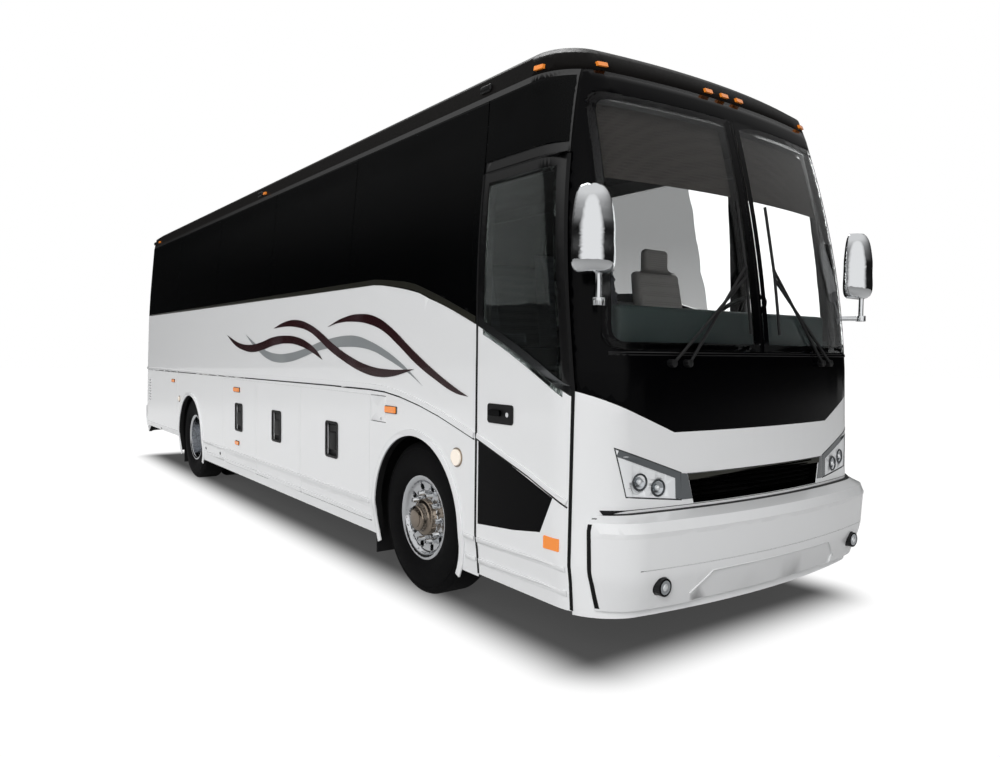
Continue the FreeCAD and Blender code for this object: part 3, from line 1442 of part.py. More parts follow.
def dashboard():
    """Dashboard with a sloping face, a hooded cluster in front of the driver and a level top."""
    inside = half_width - s.wall_thickness * 3
    rear_x = s.cab_front_x - s.dash_depth
    front_x = s.cab_front_x + s.wall_thickness
    low = s.cab_floor_height
    top = s.dash_top_height
    height = top - low
    profile_shares = ((0.30, 0.0), (0.95, 0.0), (1.0, 0.40), (1.0, 0.98), (0.55, 1.0), (0.05, 0.90), (0.0, 0.72), (0.30, 0.55))
    points = [(rear_x + (front_x - rear_x) * a, low + height * b) for a, b in profile_shares]
    body = side_prism(points, s.aisle_y, inside)
    hood = side_prism([(rear_x - s.wall_thickness, top - height * 0.16), (rear_x + s.dash_depth * 0.6, top - height * 0.06),
                       (rear_x + s.dash_depth * 0.6, top + s.wall_thickness * 0.6), (rear_x + s.dash_depth * 0.1, top + s.wall_thickness)],
                      s.wheel_centre_y - s.wheel_ring_radius * 1.2, s.wheel_centre_y + s.wheel_ring_radius * 1.2)
    shelf = side_prism([(s.cab_front_x - s.dash_depth * 0.45, top - height * 0.12), (front_x, top - height * 0.12),
                        (front_x, top - height * 0.02), (s.cab_front_x - s.dash_depth * 0.45, top)],
                       -inside * 0.88, s.aisle_y + s.trim_gap)
    return feature("dashboard", fuse([body, hood, shelf])).Shape


def steering_wheel(panel):
    """Raked wheel with three spokes on a column that comes out of the dashboard."""
    centre = Vector(s.wheel_centre_x, s.wheel_centre_y, s.wheel_centre_height)
    lean = Vector(-math.sin(math.radians(38)), 0, math.cos(math.radians(38)))
    ring = Part.makeTorus(s.wheel_ring_radius, s.wheel_grip_radius, centre, lean)
    pieces = [ring, Part.makeCylinder(s.column_radius * 1.8, s.column_radius, centre - lean * s.column_radius, lean)]
    frame = Rotation(Z_AXIS, lean)
    for turn in (90, 210, 330):
        direction = frame.multVec(Vector(math.cos(math.radians(turn)), math.sin(math.radians(turn)), 0))
        pieces.append(rod(centre - lean * s.column_radius / 2, centre + direction * s.wheel_ring_radius, s.wheel_grip_radius * 0.8))
    reach = (s.wheel_centre_height - s.cab_floor_height) / math.cos(math.radians(38)) * 0.62
    foot = centre - lean * reach
    pieces.append(rod(foot, centre, s.column_radius))
    clear = fuse(pieces).cut(panel)
    feature("steering_wheel", max(clear.Solids, key=lambda solid: solid.BoundBox.ZMax))


def seat_profile(x, floor_z):
    """Side outline of a seat that faces forwards, from its back's foot, x and z."""
    z = floor_z + s.cushion_height
    lean = s.seat_back_thickness * 0.9
    return [(x, z - s.cushion_thickness), (x + s.cushion_length, z - s.cushion_thickness * 0.8),
            (x + s.cushion_length, z), (x + s.seat_back_thickness * 1.25, z - s.cushion_thickness * 0.1),
            (x - lean + s.seat_back_thickness * 0.8, z + s.seat_back_height), (x - lean, z + s.seat_back_height)]


def driver_seat():
    """Driver's seat with a headrest on a pedestal."""
    half = s.driver_seat_width / 2
    x = s.driver_seat_x
    y = s.wheel_centre_y
    shell_solid = side_prism(seat_profile(x, s.cab_floor_height), y - half, y + half)
    top = s.cab_floor_height + s.cushion_height + s.seat_back_height
    lean = s.seat_back_thickness * 0.9
    rest = box(x - lean, x - lean + s.seat_back_thickness * 0.7, y - half * 0.55, y + half * 0.55, top, top + half * 0.75)
    pedestal = box(x + s.cushion_length * 0.2, x + s.cushion_length * 0.8, y - half * 0.6, y + half * 0.6,
                   s.cab_floor_height, s.cab_floor_height + s.cushion_height - s.cushion_thickness * 0.8)
    feature("driver_seat", fuse([shell_solid, rest, pedestal]))


def passenger_seats():
    """Rows of seat pairs, each on a leg at the aisle."""
    pieces = []
    for k in range(int(s.seat_row_count)):
        x = s.first_row_x - s.seat_pitch * k - s.cushion_length
        for side in (RIGHT, LEFT):
            near = s.seat_aisle_half
            wide = s.seat_aisle_half + s.seat_pair_width
            low, high = sorted((near * side, wide * side))
            pair = side_prism(seat_profile(x, s.floor_height), low, high)
            leg_low, leg_high = sorted(((near + s.seat_leg_width) * side, (near + s.seat_leg_width * 2) * side))
            leg = box(x + s.cushion_length * 0.3, x + s.cushion_length * 0.7, leg_low, leg_high,
                      s.floor_height, s.floor_height + s.cushion_height - s.cushion_thickness * 0.8)
            pieces.append(pair.fuse(leg).removeSplitter())
    feature("passenger_seats", Part.makeCompound(pieces))


steering_wheel(dashboard())
driver_seat()
passenger_seats()


# Mirrors, wipers, lamps and mud flaps

def mirror_head():
    """Shield-shaped head: flat glass side to the rear, bowed shell to the front, narrow at the top."""
    wires = []
    for share, scale in MIRROR_LEVEL_SHARES:
        z = s.mirror_bottom + s.mirror_height * share
        half = s.mirror_width / 2 * scale
        rear_x = s.mirror_x - s.mirror_depth / 2
        nose = Vector(rear_x + s.mirror_depth * scale, s.mirror_y, z)
        near = Vector(rear_x, s.mirror_y - half, z)
        outer_end = Vector(rear_x, s.mirror_y + half, z)
        shell_arc = Part.Arc(near, nose, outer_end).toShape()
        wires.append(Part.Wire([shell_arc, Part.makeLine(outer_end, near)]))
    return Part.makeLoft(wires, True, False)


def mirrors():
    """Upright mirror heads on cranked tubes from the front corner posts."""
    foot = Vector(s.door_front_x + s.wall_thickness, half_width - s.wall_thickness * 3, s.mirror_base_height)
    elbow = Vector(s.mirror_x, s.mirror_y, s.mirror_base_height)
    collar_height = s.mirror_arm_radius * 2.4
    collar = Part.makeCylinder(s.mirror_arm_radius * 2, collar_height, elbow - Vector(0, 0, collar_height / 2))
    stem_top = Vector(s.mirror_x, s.mirror_y, s.mirror_bottom + s.mirror_depth / 2)
    pieces = [mirror_head(), collar, rod(foot, elbow, s.mirror_arm_radius),
              rod(elbow, stem_top, s.mirror_arm_radius)]
    assembly = fuse(pieces).cut(outer)
    solid = max(assembly.Solids, key=lambda piece: piece.Volume)
    feature("mirrors", Part.makeCompound([solid, mirrored(solid)]))


def surface_x(y, z):
    """Where the outer body meets a line along the bus at a place across it."""
    line = Part.makeLine(Vector(nose_x - s.brow_length, y, z), Vector(far, y, z))
    inside = outer.common(line)
    return max(vertex.Point.x for vertex in inside.Vertexes)


def wipers():
    """Two pantograph wipers: pivot bosses, twin arms and a long blade."""
    pieces = []
    stand_off = s.wiper_tube * 3

    def above(y, z):
        return Vector(surface_x(y, z) + stand_off, y, z)

    for side in (RIGHT, LEFT):
        inner_y = s.wiper_y * side
        tip_y = inner_y - side * s.wiper_reach_y
        tip_z = s.wiper_height + s.wiper_reach_height
        tip = above(tip_y, tip_z)
        link = above(tip_y, tip_z - s.wiper_twin / 2)
        solid = [Part.makeSphere(s.wiper_tube * 1.2, tip)]
        for y, end in ((inner_y, tip), (inner_y + side * s.wiper_twin, link)):
            knob = above(y, s.wiper_height)
            base = knob - Vector(stand_off + s.wiper_tube, 0, 0)
            solid.append(rod(base, knob + Vector(s.wiper_tube, 0, 0), s.wiper_tube * 2.4))
            solid.append(rod(knob, end, s.wiper_tube))
        low = above(tip_y, tip_z - s.wiper_blade / 2)
        high = above(tip_y, tip_z + s.wiper_blade / 2)
        solid.append(rod(low, link, s.wiper_tube))
        solid.append(rod(link, tip, s.wiper_tube))
        solid.append(rod(tip, high, s.wiper_tube))
        pieces.append(fuse(solid).cut(outer))
    feature("wipers", Part.makeCompound([max(piece.Solids, key=lambda part: part.Volume) for piece in pieces]))


def marker_lamps():
    """Small lamps on the brow, the roof edges and the sides, and the fog lamps in the bumper."""
    pieces = []
    cover = envelope(-s.marker_depth)
    layer = cover.cut(envelope(-s.seat_gap))
    brow_z = s.roof_seam_height + s.marker_height * 1.6
    brow_shares = (0.74, 0.115, 0.0)
    for share in brow_shares:
        for side in (RIGHT, LEFT):
            if share == 0.0 and side == LEFT:
                continue
            y = half_width * share * side
            place_box = box(nose_x - s.brow_length, far, y - s.marker_width / 2, y + s.marker_width / 2,
                            brow_z - s.marker_height / 2, brow_z + s.marker_height / 2)
            pieces.append(layer.common(place_box))
    side_x = s.filler_front_x + s.side_lamp_width
    side_z = s.filler_bottom + s.side_lamp_width
    roof_z = s.roof_seam_height + s.marker_height
    for side in (RIGHT, LEFT):
        y0, y1 = side_range(side)
        pieces.append(layer.common(box(side_x, side_x + s.side_lamp_width, y0, y1, side_z,
                                       side_z + s.side_lamp_height)))
        round_lamp = Part.makeCylinder(s.round_lamp_radius, half_width * 2,
                                       Vector(s.round_lamp_x, 0, s.round_lamp_height), Vector(0, side, 0))
        pieces.append(layer.common(round_lamp))
        for x in (s.door_front_x - s.brow_length * 0.45, s.rear_seam_x + s.brow_length * 0.5, s.bay_seam_one_x):
            pieces.append(layer.common(box(x, x + s.marker_width, y0, y1, roof_z, roof_z + s.marker_height)))
    solids = [max(piece.Solids, key=lambda part: part.Volume) for piece in pieces if piece.Solids]
    feature("marker_lamps", Part.makeCompound(solids))


def fog_lamps():
    """Round fog lamps seated in the bumper's holes."""
    pieces = []
    for side in (RIGHT, LEFT):
        y = side * s.fog_y
        body = rod(Vector(surface_x(y, s.fog_height), y, s.fog_height),
                   Vector(nose_x + s.bumper_reach - s.bumper_lower_inset * 1.5, y, s.fog_height), s.fog_radius)
        pieces.append(body.cut(outer))
    feature("fog_lamps", Part.makeCompound([max(piece.Solids, key=lambda part: part.Volume) for piece in pieces]))


def rear_lamps():
    """Round tail lamps, three on each side, standing on the rear wall."""
    pieces = []
    layer = envelope(-s.marker_depth).cut(envelope(-s.seat_gap))
    for y, z in rear_lamp_places():
        disc = Part.makeCylinder(s.rear_lamp_radius, s.overall_length, Vector(0, y, z), Vector(-1, 0, 0))
        pieces += layer.common(disc).Solids
    feature("rear_lamps", Part.makeCompound(pieces))


def mud_flaps():
    """Rubber flaps behind all wheels, hung from the housings."""
    pieces = []
    for axle_x, half in ((front_axle_x, s.front_housing_half), (rear_axle_x, s.rear_housing_half)):
        x0 = axle_x - half
        if axle_x == front_axle_x:
            x0 = max(x0, s.bay_front_x + s.trim_gap)
        for side in (RIGHT, LEFT):
            edge = half_width - s.wall_thickness - s.skirt_inset - s.trim_gap
            low, high = sorted((edge * side, (edge - s.mud_flap_width) * side))
            pieces.append(box(x0 - s.mud_flap_thickness - s.seat_gap, x0 - s.seat_gap, low, high, s.mud_flap_bottom,
                              s.skirt_height + s.wall_thickness * 1.4))
    feature("mud_flaps", Part.makeCompound(pieces))


mirrors()
wipers()
marker_lamps()
fog_lamps()
rear_lamps()
mud_flaps()

# Check and write every sub-part
doc.recompute()
for item in doc.Objects:
    if "Invalid" in item.State or "Error" in item.State:
        raise RuntimeError("%s is in state %s" % (item.Label, item.State))
for item in NODES:
    if item.Shape.isNull() or not item.Shape.isValid() or not item.Shape.Solids:
        raise RuntimeError("%s has no valid solid" % item.Label)
for item in NODES:
    item.Shape.exportStep("parts/%s.step" % item.Label)
    box_size = item.Shape.BoundBox
    print("%-24s solids %2d  volume %8.3f dm3  x %7.0f %7.0f  y %6.0f %6.0f  z %5.0f %5.0f" % (
        item.Label, len(item.Shape.Solids), item.Shape.Volume / 1e6, box_size.XMin, box_size.XMax, box_size.YMin,
        box_size.YMax, box_size.ZMin, box_size.ZMax))
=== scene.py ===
"""Studio portrait of an intercity coach bus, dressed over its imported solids.

Frame: metres, +X towards the front of the bus, +Y to its left, +Z up, ground at z = 0.
"""
import json
import logging
import math
from collections.abc import Callable, Sequence
from dataclasses import dataclass, field
from enum import Enum

import bmesh
import bpy
from mathutils import Matrix, Vector

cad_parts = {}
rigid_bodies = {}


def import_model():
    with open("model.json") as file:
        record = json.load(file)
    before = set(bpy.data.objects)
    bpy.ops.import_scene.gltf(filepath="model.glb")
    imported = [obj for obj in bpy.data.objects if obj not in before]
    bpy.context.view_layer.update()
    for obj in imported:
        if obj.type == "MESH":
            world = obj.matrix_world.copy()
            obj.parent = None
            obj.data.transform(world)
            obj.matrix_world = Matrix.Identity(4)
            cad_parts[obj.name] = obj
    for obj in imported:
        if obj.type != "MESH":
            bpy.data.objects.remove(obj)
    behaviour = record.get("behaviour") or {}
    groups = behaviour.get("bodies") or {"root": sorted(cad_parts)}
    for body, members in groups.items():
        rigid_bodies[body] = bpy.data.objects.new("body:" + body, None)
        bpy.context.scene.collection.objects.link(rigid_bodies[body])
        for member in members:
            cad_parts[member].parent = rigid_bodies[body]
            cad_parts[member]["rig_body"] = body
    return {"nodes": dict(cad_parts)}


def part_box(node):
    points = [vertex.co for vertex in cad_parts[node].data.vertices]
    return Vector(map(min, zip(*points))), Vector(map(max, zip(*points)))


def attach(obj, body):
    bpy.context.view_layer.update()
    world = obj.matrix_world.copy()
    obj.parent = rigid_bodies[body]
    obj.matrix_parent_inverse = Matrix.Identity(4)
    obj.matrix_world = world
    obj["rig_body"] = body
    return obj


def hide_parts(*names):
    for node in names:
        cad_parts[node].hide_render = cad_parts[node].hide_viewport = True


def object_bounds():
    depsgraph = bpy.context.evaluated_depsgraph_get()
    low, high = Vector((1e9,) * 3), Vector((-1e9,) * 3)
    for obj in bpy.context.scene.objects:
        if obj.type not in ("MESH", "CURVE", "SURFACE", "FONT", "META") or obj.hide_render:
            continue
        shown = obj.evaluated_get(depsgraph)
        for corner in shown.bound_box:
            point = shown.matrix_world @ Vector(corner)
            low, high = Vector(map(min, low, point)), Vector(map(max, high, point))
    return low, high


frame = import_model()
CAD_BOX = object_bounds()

Point = tuple[float, float]
Point3 = tuple[float, float, float]
Box = tuple[float, float, float, float]
Piece = bpy.types.Object
Tree = bpy.types.NodeTree
Socket = bpy.types.NodeSocket

log = logging.getLogger("coach")

RIGHT, LEFT = -1, 1
SIDE_NAMES = {RIGHT: "right", LEFT: "left"}
MM = 0.001

# Places and sizes of the imported solids, some read from them and the rest given
WALL = abs(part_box("luggage_door_right_1")[0].y)
FRONT_AXLE_X = sum(corner.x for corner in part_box("tyre_front_right")) / 2
REAR_AXLE_X = sum(corner.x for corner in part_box("tyre_rear_right")) / 2
TYRE_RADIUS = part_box("tyre_front_right")[1].z / 2
# Lower middle of each luggage door's latch recess, and the recess's width and height
LATCH_PLACES = ((-0.482, 0.8), (0.668, 0.8), (1.958, 0.8))
LATCH_SIZE = (0.23, 0.29)
# Axle and opening radius of each wheel arch
ARCHES = ((FRONT_AXLE_X, 0.575), (REAR_AXLE_X, 0.548))
# Settings of a piece that rides on the entrance door, which is on the right side alone
ON_DOOR = {"body": "entrance_door", "twin": False}

# Ranges of noise that run from none to all of a change of gloss, a fleck and a fade
MOTTLE_RANGE, FLECK_RANGE, FADE_RANGE = (0.3, 0.7), (0.35, 0.75), (0.52, 0.72)
# Stretch of the noise along turned rings, and the noise of a fade in features a metre
RING_STRETCH, FADE_SCALE = (1.0, 0.04, 1.0), 1.6
COAT_ROUGHNESS = 0.03
# Edges of a plain painted panel under this many degrees are shaded smooth
PANEL_ANGLE = 32.0
# Turn that lays an upright axis across the bus
AXLE_TURN = (math.pi / 2, 0.0, 0.0)
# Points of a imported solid's copy, and of a new plate, that are nearer than this are joined
COPY_WELD, PLATE_WELD = 2e-5, 1e-6
# Least divisor of a strip's corner, which keeps sharp bends from growing spikes
LEAST_MITRE = 0.3
# Linear value of sRGB: end of its straight part, slope, offset and power
SRGB = (0.04045, 12.92, 0.055, 2.4)


class Blend(Enum):
    """How a finish's grain is drawn."""

    NONE = "none"
    PEEL = "orange peel of sprayed paint"
    CAST = "sand cast or moulded grain"
    WEAVE = "woven cloth"
    TURNED = "fine turned rings"
    FADE = "metallic fade along a printed film"


class View(Enum):
    """Direction from which a flat outline is drawn and pressed on to the body."""

    SIDE = "outline as x and z, seen from the right"
    FRONT = "outline as y and z, seen from the front"

    def matrix(self, level: float) -> Matrix:
        """Matrix that turns a drawing on X and Y into this view.

        Args:
            level: Place of the drawing along the view.

        Returns:
            Matrix of the turn and the move.
        """
        if self is View.SIDE:
            return Matrix.Translation((0, level, 0)) @ Matrix.Rotation(math.pi / 2, 4, "X")
        turn = Matrix(((0, 0, 1), (1, 0, 0), (0, 1, 0))).to_4x4()
        return Matrix.Translation((level, 0, 0)) @ turn

    def outwards(self) -> Vector:
        """Direction that points away from the body."""
        return Vector((0, -1, 0)) if self is View.SIDE else Vector((1, 0, 0))


def linear(hex_colour: str) -> tuple[float, float, float, float]:
    """Linear colour of an sRGB hex value.

    Args:
        hex_colour: Six hex digits, without a mark in front.

    Returns:
        Linear red, green, blue and an alpha of 1.
    """
    parts = [int(hex_colour[k:k + 2], 16) / 255 for k in (0, 2, 4)]
    low, slope, offset, power = SRGB
    values = [c / slope if c <= low else ((c + offset) / (1 + offset)) ** power for c in parts]
    return (*values, 1.0)


def new_tree(owner: bpy.types.Material | bpy.types.World) -> Tree:
    """Empty node tree of a material or a world.

    Args:
        owner: Material or world that shows the tree.

    Returns:
        The tree, without nodes.
    """
    owner.use_nodes = True
    owner.node_tree.nodes.clear()
    return owner.node_tree


def add_node(tree: Tree, kind: str, inputs: dict | Sequence = (), **settings) -> bpy.types.Node:
    """Add one shader node with its settings, values and links.

    Args:
        tree: Node tree that gets the node.
        kind: Type name of the node.
        inputs: Values, or sockets to link from, in the order of the node's inputs or by their names.
        **settings: Attributes of the node itself.

    Returns:
        The new node.
    """
    node = tree.nodes.new(kind)
    for name, value in settings.items():
        setattr(node, name, value)
    for name, value in inputs.items() if isinstance(inputs, dict) else enumerate(inputs):
        if isinstance(value, Socket):
            tree.links.new(value, node.inputs[name])
        else:
            node.inputs[name].default_value = value
    return node


def tint(tree: Tree, shader: bpy.types.Node, share: Socket, first: str, second: str) -> None:
    """Colour a shader by a share between two sRGB hex values.

    Args:
        tree: Node tree of the material.
        shader: Principled shader to colour.
        share: How much of the second colour shows.
        first: Colour where the share is 0.
        second: Colour where it is 1.
    """
    rows = {"Factor": share, "A": linear(first), "B": linear(second)}
    mix = add_node(tree, "ShaderNodeMix", rows, data_type="RGBA")
    tree.links.new(mix.outputs["Result"], shader.inputs["Base Color"])


@dataclass(frozen=True)
class Grain:
    """Relief of a surface: its kind, the size of one grain and its depth, in millimetres."""

    kind: Blend = Blend.NONE
    size: float = 3.0
    depth: float = 0.02

    def height(self, tree: Tree, place: Socket) -> Socket:
        """Height of the relief at each place of a surface.

        Args:
            tree: Node tree of the material.
            place: Socket with the place.

        Returns:
            Socket with a height from 0 to 1.
        """
        scale = 1 / (self.size * MM)
        if self.kind is Blend.WEAVE:
            rows = {"Vector": place, "Scale": scale / math.tau * 0.5, "Distortion": 1.5, "Detail": 1.0}
            waves = (add_node(tree, "ShaderNodeTexWave", rows, bands_direction=axis) for axis in ("X", "Z"))
            threads = [wave.outputs["Fac"] for wave in waves]
            return add_node(tree, "ShaderNodeMath", threads, operation="MAXIMUM").outputs[0]
        detail = 3.0
        if self.kind is Blend.TURNED:
            place = add_node(tree, "ShaderNodeMapping", {"Vector": place, "Scale": RING_STRETCH}).outputs[0]
            detail = 2.0
        rows = {"Vector": place, "Scale": scale, "Detail": detail}
        return add_node(tree, "ShaderNodeTexNoise", rows).outputs["Fac"]


@dataclass(frozen=True)
class Finish:
    """One real surface: its colour, its gloss and its grain."""

    name: str
    colour: str
    roughness: float = 0.5
    metallic: float = 0.0
    ior: float = 1.5
    specular: float = 0.5
    coat: float = 0.0
    transmission: float = 0.0
    emission: float = 0.0
    grain: Grain = Grain()
    second: str = ""
    mottle: float = 0.0

    def build(self) -> bpy.types.Material:
        """Make the material, unless it is already made.

        Returns:
            The material.
        """
        found = bpy.data.materials.get(self.name)
        if found:
            return found
        material = bpy.data.materials.new(self.name)
        tree = new_tree(material)
        shader = add_node(tree, "ShaderNodeBsdfPrincipled", {
            "Base Color": linear(self.colour), "Roughness": self.roughness, "Metallic": self.metallic,
            "IOR": self.ior, "Specular IOR Level": self.specular, "Coat Weight": self.coat,
            "Coat Roughness": COAT_ROUGHNESS, "Transmission Weight": self.transmission,
            "Emission Color": linear(self.colour), "Emission Strength": self.emission})
        add_node(tree, "ShaderNodeOutputMaterial", {"Surface": shader.outputs["BSDF"]})
        self.draw(tree, shader)
        return material

    def draw(self, tree: Tree, shader: bpy.types.Node) -> None:
        """Draw the grain into the shader's colour, roughness and normal.

        Args:
            tree: Node tree of the material.
            shader: Principled shader to dress.
        """
        place = add_node(tree, "ShaderNodeTexCoord").outputs["Object"]
        height = self.grain.height(tree, place)
        fading = self.grain.kind is Blend.FADE
        if not fading and self.grain.kind is not Blend.NONE:
            bump = add_node(tree, "ShaderNodeBump", {"Height": height, "Strength": 1.0,
                                                     "Distance": self.grain.depth * MM})
            tree.links.new(bump.outputs["Normal"], shader.inputs["Normal"])
        if self.mottle:
            glossy, dull = self.roughness * (1 - self.mottle), min(1.0, self.roughness * (1 + self.mottle))
            gloss = add_node(tree, "ShaderNodeMapRange", (height, *MOTTLE_RANGE, glossy, dull))
            tree.links.new(gloss.outputs["Result"], shader.inputs["Roughness"])
        if fading:
            rows = {"Vector": place, "Scale": FADE_SCALE, "Detail": 2.0}
            height = add_node(tree, "ShaderNodeTexNoise", rows).outputs["Fac"]
        if self.second:
            reach = FADE_RANGE if fading else FLECK_RANGE
            share = add_node(tree, "ShaderNodeMapRange", (height, *reach)).outputs["Result"]
            tint(tree, shader, share, self.colour, self.second)


# Two-pack polyurethane body paint, sprayed and clear coated: a hard gloss over a faint orange peel.
WHITE_PAINT = Finish("polyurethane_paint_white", "F0F1F2", 0.32, coat=1.0, grain=Grain(Blend.PEEL, 9, 0.012),
                     mottle=0.08)
# Gloss black paint on glass fibre mouldings and window frames.
BLACK_PAINT = Finish("polyurethane_paint_black", "020203", 0.16, specular=0.08,
                     grain=Grain(Blend.PEEL, 9, 0.01), mottle=0.1)
# Satin brown black roof paint, which shows broad soft light and a little dust.
ROOF_PAINT = Finish("polyurethane_paint_roof", "0B0908", 0.42, specular=0.10,
                    grain=Grain(Blend.PEEL, 14, 0.02), mottle=0.15)
# Privacy float glass, tinted grey through its body.
PRIVACY_GLASS = Finish("float_glass_privacy", "08090A", 0.02, ior=1.2, transmission=0.6)
# Lightly tinted float glass of the driver's window.
TINTED_GLASS = Finish("float_glass_tinted", "DCDCDC", 0.01, ior=1.3, transmission=1.0)
# Laminated windscreen glass with a faint green cast.
SCREEN_GLASS = Finish("laminated_glass", "DADCDC", 0.005, ior=1.22, transmission=1.0)
# Door glass, tinted more darkly than the windscreen.
DOOR_GLASS = Finish("float_glass_door", "9DA3A1", 0.01, ior=1.25, transmission=1.0)
# Anodised window rail with a dark olive tone.
OLIVE_RAIL = Finish("anodised_aluminium_olive", "3A3A33", 0.28, metallic=0.6,
                    grain=Grain(Blend.PEEL, 20, 0.02))
# Bronze chromate on the hub faces and on the rings of the arch lamps.
BRONZE = Finish("chromated_hub_cap", "A3978A", 0.16, metallic=1.0, grain=Grain(Blend.TURNED, 1.5, 0.01))
# Glass bulb of a lamp that is off, with a bright filament housing.
CLEAR_BULB = Finish("glass_bulb", "EDF0F2", 0.08, metallic=0.5, coat=1.0, grain=Grain(Blend.CAST, 8, 0.05))
# Shadow gap between two panels, filled with dark sealant. The same finish draws a painted shadow line along
# the bumper's crease.
SEALANT_AND_SHADOW_LINE = Finish("polyurethane_sealant", "2A2B2D", 0.6, specular=0.3, grain=Grain(Blend.CAST, 2, 0.02))
# Extruded EPDM rubber seals: soft, dull and nearly black. The same finish draws the painted shadow line under
# the waist moulding.
SEAL_AND_SHADOW_LINE = Finish("epdm_rubber_seal", "0B0B0C", 0.6, specular=0.3, grain=Grain(Blend.CAST, 1.5, 0.03))
# Vulcanised tyre rubber with a fine bloom.
TYRE = Finish("vulcanised_tyre_rubber", "060607", 0.72, specular=0.14, grain=Grain(Blend.CAST, 4, 0.12),
              second="0B0B0C", mottle=0.15)
# Forged aluminium wheel, polished, with the fine rings of its last turning.
POLISHED_ALUMINIUM = Finish("forged_aluminium_polished", "D9DBDE", 0.12, metallic=1.0,
                            grain=Grain(Blend.TURNED, 1.2, 0.004), mottle=0.2)
# Decorative chrome plate on pressed steel.
CHROME = Finish("chrome_plate", "E6E8EA", 0.04, metallic=1.0, grain=Grain(Blend.PEEL, 30, 0.02))
# Anodised aluminium trim, which mirrors its surroundings softly.
ANODISED = Finish("anodised_aluminium_trim", "6E7072", 0.22, metallic=1.0, grain=Grain(Blend.PEEL, 20, 0.02))
# Injection moulded ABS, satin black, with a fine mould grain.
BLACK_ABS = Finish("moulded_abs_black", "0D0D0E", 0.42, specular=0.4, grain=Grain(Blend.CAST, 1.2, 0.03),
                   mottle=0.1)
# Grille slats moulded in black nylon, with a matt grain.
GRILLE_PLASTIC = Finish("moulded_nylon_black", "020202", 0.7, specular=0.0,
                        grain=Grain(Blend.CAST, 1.5, 0.03))
# Printed vinyl film, maroon with a silver fade.
MAROON_FILM = Finish("cast_vinyl_film_maroon", "270C10", 0.22, coat=0.3, grain=Grain(Blend.FADE),
                     second="45363A")
# Cast vinyl film, plain grey.
GREY_FILM = Finish("cast_vinyl_film_grey", "8B8F91", 0.28, coat=0.5, grain=Grain(Blend.FADE), second="979B9C")
# Satin silver lacquer on the moulded lamp housings.
LAMP_SILVER = Finish("lacquered_lamp_housing", "EDEFF1", 0.3, coat=0.4, grain=Grain(Blend.CAST, 2, 0.01))
# Dark chromed ring round each head lamp.
LAMP_BEZEL = Finish("dark_chrome_ring", "5A5D60", 0.15, metallic=1.0, grain=Grain(Blend.PEEL, 20, 0.02))
# Polycarbonate light strip, smoked grey when it is off.
LIGHT_STRIP = Finish("polycarbonate_light_strip", "55595C", 0.15, coat=0.8, grain=Grain(Blend.CAST, 6, 0.05))
# Aluminised reflector behind the lens.
REFLECTOR = Finish("aluminised_reflector", "C7CBCF", 0.08, metallic=1.0, grain=Grain(Blend.CAST, 6, 0.2))
# Amber, red and white acrylic lamp lenses, moulded with fine prisms.
AMBER = Finish("acrylic_lens_amber", "F08A2E", 0.15, coat=1.0, emission=0.2, grain=Grain(Blend.CAST, 5, 0.15))
RED = Finish("acrylic_lens_red", "A30D0D", 0.15, coat=1.0, emission=0.05, grain=Grain(Blend.CAST, 5, 0.15))
WHITE_LENS = Finish("acrylic_lens_white", "F6EBDD", 0.18, coat=1.0, emission=0.25,
                    grain=Grain(Blend.CAST, 5, 0.15))
# Forged and cast chassis parts under black chassis paint.
CHASSIS_PAINT = Finish("chassis_paint", "0A0A0B", 0.55, grain=Grain(Blend.CAST, 5, 0.15), second="100F0F",
                       mottle=0.2)
CAST_IRON = Finish("cast_iron_painted", "1F2022", 0.6, metallic=0.3, grain=Grain(Blend.CAST, 3, 0.3),
                   second="2A2725", mottle=0.2)
STEEL = Finish("brushed_steel", "9A9C9F", 0.35, metallic=1.0, grain=Grain(Blend.TURNED, 1, 0.01))
# Moulded rubber of the mud flaps.
FLAP_RUBBER = Finish("moulded_rubber", "0F0F10", 0.7, grain=Grain(Blend.CAST, 3, 0.1))
# Woven wool and nylon seat cloth, about 1.6 mm between threads, drawn a little coarser so that it shows.
SEAT_CLOTH = Finish("woven_seat_cloth", "4A4D55", 0.9, specular=0.2, grain=Grain(Blend.WEAVE, 4, 0.5),
                    second="5A5D64")
# Paler cover of the driver's seat.
DRIVER_CLOTH = Finish("woven_driver_seat_cloth", "B4AFAC", 0.9, specular=0.2,
                      grain=Grain(Blend.WEAVE, 4, 0.5), second="C0BBB8")
# Soft dashboard skin, polyurethane with a leather grain.
DASH_SKIN = Finish("polyurethane_skin", "33403F", 0.5, specular=0.35, grain=Grain(Blend.CAST, 2.5, 0.08),
                   second="3A4746")
# Pleated sun blind cloth behind the windscreen, dark brown grey.
BLIND_CLOTH = Finish("pleated_blind_cloth", "3B3734", 0.85, specular=0.2, grain=Grain(Blend.WEAVE, 5, 0.3),
                     second="443F3C")
# Safety vinyl floor with a fleck.
FLOOR_VINYL = Finish("safety_floor_vinyl", "3D4043", 0.6, grain=Grain(Blend.CAST, 3, 0.05), second="4D5053")


